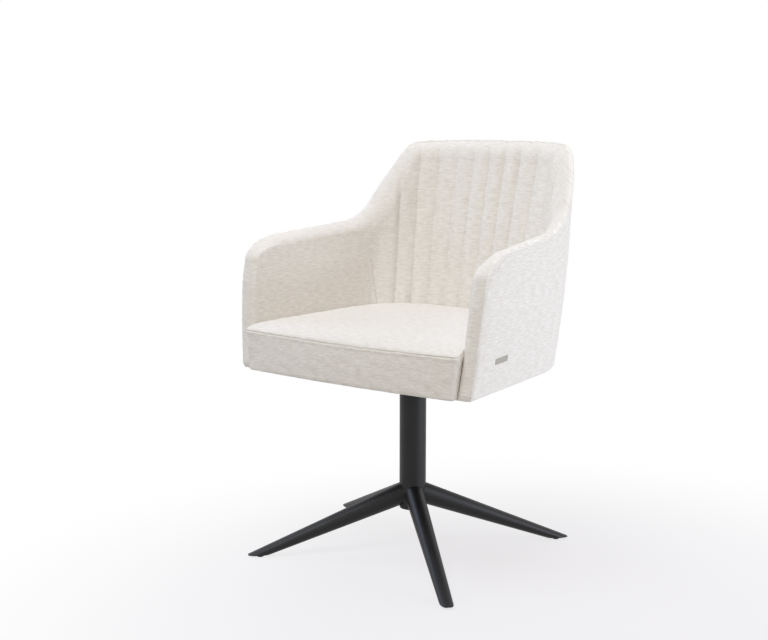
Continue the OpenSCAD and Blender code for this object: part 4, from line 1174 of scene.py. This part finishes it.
def seat_outline(z, inset):
    """Right half of the cushion's outline, from the middle front to the middle rear, in mm."""
    def beside(t):
        # Towards the front the cushion follows the wall as it is a little lower down
        draw = 0.12 * (1 - ease01(t / SIDE))
        p = tub(1, t, mix(z, UNDERSIDE, draw), wall_thickness(z, t) + SEAT_GAP + inset)
        return p[..., :2] * 1000

    def t_at_y(y):
        depth = wall_thickness(z, 0.0) + SEAT_GAP + inset
        a = np.radians(taper(z))
        start = front_y(z)
        end = (tub(1, SIDE, z, 0.0) * 1000)[1]
        return SIDE * (y + depth * np.sin(a) - start) / (end - start)

    def wall_x(y):
        """The cushion's side at y: near the front it fills the roll of the arm's front."""
        arm_front = front_y(z) - ARM_WALL * np.sin(np.radians(taper(z)))
        left = 1 - clamp01((y - arm_front) / FRONT_ROLL)
        room = (FRONT_ROLL + 2) * (1 - np.sqrt(1 - left ** 2))
        return beside(np.maximum(t_at_y(y), 0.0))[..., 0] + np.minimum(CORNER_OUT, room)

    def bow(x):
        return -REACH + BOW * (x / FRONT_HALF) ** 2 + inset

    r = max(2.0, CORNER_R - inset)
    side_x = float(wall_x(np.array(CORNER_Y)))
    cx = side_x - r
    front = [(x, bow(x)) for x in np.linspace(0, cx, FRONT_POINTS)]
    angle = np.radians(np.linspace(0, 90, CORNER_POINTS + 1)[1:])
    corner = [(cx + r * math.sin(a), bow(cx) + r * (1 - math.cos(a))) for a in angle]
    gap_y = np.linspace(corner[-1][1], SKIRT_END, GAP_POINTS + 1)[1:]
    step_y = np.linspace(SKIRT_END, SKIRT_END + 10, 6)[1:]
    ahead = np.stack([wall_x(gap_y), gap_y], -1).tolist() \
        + np.stack([wall_x(step_y), step_y], -1).tolist()
    t = np.concatenate([np.linspace(float(t_at_y(SKIRT_END + 10)), SIDE, 32)[1:],
                        np.linspace(SIDE, CORNER, 40)[1:], np.linspace(CORNER, 1, 14)[1:]])
    return np.array(front + corner + ahead + beside(t).tolist())


print(len(seat_outline(SEAT_EDGE, 0)), "points in half the cushion's outline")

# %% [markdown]
# The top panel is crowned and rolls over at the sides, and along the front it falls to a seam.
# One formula gives its height everywhere, and the seam below it follows the same height.

# %% Top of the cushion
# Half the width of the top panel and of the front panel, and how far the top is crowned
TOP_HALF, PANEL_HALF = 253.0, 260.0
CROWN = 8.0
# The front edge falls by so much at the middle, less by the second figure at the corners
FRONT_FALL, CORNER_LESS = 14.5, 5.5
FALL_LENGTH = 62.0


def seat_top(x, y):
    """Height of the cushion's top panel."""
    across = clamp01(np.abs(x) / TOP_HALF)
    back = y + REACH - BOW * across ** 2
    along = clamp01(back / (2 * REACH))
    # The crown is highest a little in front of the cushion's middle
    crown = CROWN * (1 - across ** 3) * np.sin(np.radians(90 + 90 * (0.9 - 2 * along) * 0.8))
    drop = FRONT_FALL - CORNER_LESS * across ** 2
    return SEAT_EDGE + crown - drop * clamp01(1 - back / FALL_LENGTH) ** 2.2


print("the seat is", round(float(seat_top(0, 0)), 1), "mm high in the middle and",
      round(float(seat_top(0, -REACH)), 1), "mm at the front")

# %% [markdown]
# The cushion is lofted from its hidden underside upwards: the front skirt, the seam, the rounded
# rim, and then ever smaller outlines that close the top.

# %% Seat cushion
# Under the front seam: distance below it, and how far in the cloth lies
SEAM_PROFILE = ((5.5, 0.1), (4.0, -0.3), (2.6, -0.4), (1.4, -0.1), (0.5, 0.6), (-0.2, 1.4),
                (-0.9, 1.5), (-1.6, 1.0))


def seat_cushion():
    rings = []

    def ring(inset, level, roll=None, scale=1.0, bulge=0.0, below=None):
        """One outline. With a roll in degrees it lies on the top panel's rounded rim."""
        half = seat_outline(min(level, SEAT_EDGE), inset)
        both = np.concatenate([half, (half * (-1, 1))[-2:0:-1]]) * scale
        x, y = both.T
        front = np.concatenate([np.arange(len(half)), np.arange(len(half) - 2, 0, -1)])
        ahead = np.exp(-np.maximum(0, front - FRONT_POINTS) / 4.0)
        if roll is None and below is not None:
            # Just under the seam the level follows it
            z = seat_top(x, y) - RIM - below
        elif roll is None:
            z = np.where(front < SKIRT_POINTS, level, np.maximum(level, PAD_FOOT)) + 0 * x
            y = y - ahead * bulge * (1 - (x / PANEL_HALF) ** 2)
        else:
            z = seat_top(x, y) - RIM * (1 - math.sin(math.radians(roll)))
            # Cloth gathers in short folds along the front seam, on both sides of the thread
            near = math.exp(-((roll - 15) / 25) ** 2)
            z = z + ahead * near * 0.3 * uneven_line(x, 23, 42)
        rings.append(np.stack([x, y, z], -1))

    # The hidden underside, the front skirt, the boxed sides and the rolled top edge
    ring(60, PAD_FOOT)
    ring(17, PAD_FOOT)
    ring(17, UNDERSIDE + 0.5)
    for a in np.radians(np.linspace(0, 90, 6)):
        ring(5 * (1 - math.sin(a)), UNDERSIDE + 0.5 + 5 * (1 - math.cos(a)))
    top_of_panel = SEAT_EDGE - FRONT_FALL - RIM
    for level in np.linspace(UNDERSIDE + 6, top_of_panel - 6, 38)[1:]:
        share = (level - UNDERSIDE) / (top_of_panel - UNDERSIDE)
        ring(0, level, bulge=1.8 * math.sin(math.pi * share) ** 0.8)
    # The panel's upper rim swells out under the seam, and the thread lies in a groove
    for below, inset in SEAM_PROFILE:
        ring(inset, SEAT_EDGE, below=below)
    for roll in np.linspace(24, 90, 10):
        a = math.radians(roll)
        ring(RIM * (1 - math.cos(a)), SEAT_EDGE, roll=roll)
    for inset in (7.5, 9.5, 12):
        ring(inset, SEAT_EDGE, roll=90)
    for scale in np.concatenate([[0.985, 0.965], np.linspace(0.94, 0.04, 26)]):
        ring(12, SEAT_EDGE, roll=90, scale=scale)
    rings_mm = np.array(rings)
    # Puckers below the front seam, and a slightly wavy front panel
    x, y, z = rings_mm[..., 0], rings_mm[..., 1], rings_mm[..., 2]
    under_seam = seat_top(x, y) - RIM - z
    front = ease01((-195 - y) / 20) * ease01(under_seam / 4)
    y += front * (0.5 * np.exp(-np.maximum(0, under_seam) / 9) * uneven(x, z, 14, 16, 43)
                  + 0.35 * uneven(x, z, 60, 30, 44))
    z += (z > SEAT_EDGE - 20) * (0.35 * uneven(x, y, 90, 70, 45) + 0.15 * uneven(x, y, 24, 40, 46))
    lay = np.stack([x, z + y], -1) / 1000
    return loft("seat_cushion_cloth", rings_mm / 1000, lay, cream_cloth)


cushion = seat_cushion()
upholstery(cushion, "seat_cushion")

# %% [markdown]
# The picture was taken in a white studio. The floor is pale and matt and keeps soft shadows, and
# what the camera sees behind the chair is plain white. Most of the light comes from a large soft
# lamp high up in front. One stands low at the right, a little behind the chair, and two weak ones
# hang overhead and at the left. The lamps are slightly blue and the light that fills the shade is
# warm, so the shaded front of the seat looks creamier than its top.

# %% Studio
world = bpy.data.worlds.new("studio")
scene.world = world
world.use_nodes = True
sky = world.node_tree
sky.nodes.clear()
plain = add_node(sky, "ShaderNodeBackground", {"Color": linear("FFFFFF"), "Strength": 1.0})
fill = add_node(sky, "ShaderNodeBackground", {"Color": linear("FFEDC4"), "Strength": 0.34})
both = add_node(sky, "ShaderNodeMixShader", {0: plainly_seen(sky), 1: fill.outputs[0],
                2: plain.outputs[0]})
add_node(sky, "ShaderNodeOutputWorld", {"Surface": both.outputs[0]})


def soft_lamp(name, place, target, size, power, code):
    """A round lamp of a size in metres and a power in watts, turned to its target."""
    lamp = bpy.data.lights.new(name, "AREA")
    lamp.shape = "DISK"
    lamp.size = size
    lamp.energy = power
    lamp.color = linear(code)[:3]
    holder = bpy.data.objects.new(name, lamp)
    holder.location = place
    aim = Vector(target) - Vector(place)
    holder.rotation_euler = aim.to_track_quat("-Z", "Y").to_euler()
    scene.collection.objects.link(holder)


MIDDLE = (0, 0, 0.6)
soft_lamp("high_front", (0.1, -1.4, 2.9), MIDDLE, 1.6, 47, "EDF5FF")
soft_lamp("right", (2.3, 0.75, 0.75), MIDDLE, 1.5, 33.5, "E2EDFF")
soft_lamp("overhead", (0.0, 0.6, 2.8), (0, 0, 0.5), 2.2, 15, "E2E6FF")
soft_lamp("left", (-2.6, -0.6, 1.8), MIDDLE, 1.4, 19, "B3CEFF")
print(len(bpy.data.lights), "lamps lit")

# %% [markdown]
# The floor is two things at once. Light that bounces meets matt white paint, which lights the
# chair from below. The camera sees translucent paper with light behind it, which lifts the
# shadows as in the picture, and further out the paper fades into plain white.

# %% Floor
FLOOR_HALF = 14.0
# The fade to white is round this point, from the first to the second distance, in metres
FADE_AT = (0.42, -0.2, 0.0)
FADE_FROM, FADE_TO = 0.35, 1.25


def pale_floor():
    """Matt white paint for the light, and for the camera paper that fades into white."""
    matt, tree = start_finish("matt_white_floor")
    place = add_node(tree, "ShaderNodeTexCoord").outputs["Object"]
    cloud = add_node(tree, "ShaderNodeTexNoise", {"Vector": place, "Scale": 1.5,
                     "Detail": 2.0})
    tint = add_node(tree, "ShaderNodeMix", {"Factor": cloud.outputs["Fac"], 6: linear("E2E1E4"),
                    7: linear("E5E4E7")}, data_type="RGBA")
    paint = add_node(tree, "ShaderNodeBsdfDiffuse", {"Color": tint.outputs[2]})
    thin = add_node(tree, "ShaderNodeBsdfDiffuse", {"Color": linear("6C6C6E")})
    glow = add_node(tree, "ShaderNodeEmission", {"Color": linear("FEFCFE"), "Strength": 0.75})
    lit = add_node(tree, "ShaderNodeAddShader", {0: thin.outputs[0], 1: glow.outputs[0]})
    paper = add_node(tree, "ShaderNodeEmission", {"Color": linear("FFFFFF"), "Strength": 1.0})
    away = add_node(tree, "ShaderNodeVectorMath", {0: place, 1: FADE_AT},
                    operation="DISTANCE")
    out = add_node(tree, "ShaderNodeMapRange", {"Value": away.outputs["Value"],
                   "From Min": FADE_FROM, "From Max": FADE_TO}, interpolation_type="SMOOTHSTEP")
    shown = add_node(tree, "ShaderNodeMixShader", {0: out.outputs[0], 1: lit.outputs[0],
                     2: paper.outputs[0]})
    pick = add_node(tree, "ShaderNodeMixShader", {0: plainly_seen(tree), 1: paint.outputs[0],
                    2: shown.outputs[0]})
    end_finish(tree, pick.outputs[0])
    return matt


corners = [(x * FLOOR_HALF, y * FLOOR_HALF, 0) for x, y in ((-1, -1), (1, -1), (1, 1), (-1, 1))]
floor_mesh = bpy.data.meshes.new("floor")
floor_mesh.from_pydata(corners, [], [(0, 1, 2, 3)])
floor_mesh.materials.append(pale_floor())
floor = bpy.data.objects.new("floor", floor_mesh)
scene.collection.objects.link(floor)
print("floor laid,", 2 * FLOOR_HALF, "m wide")
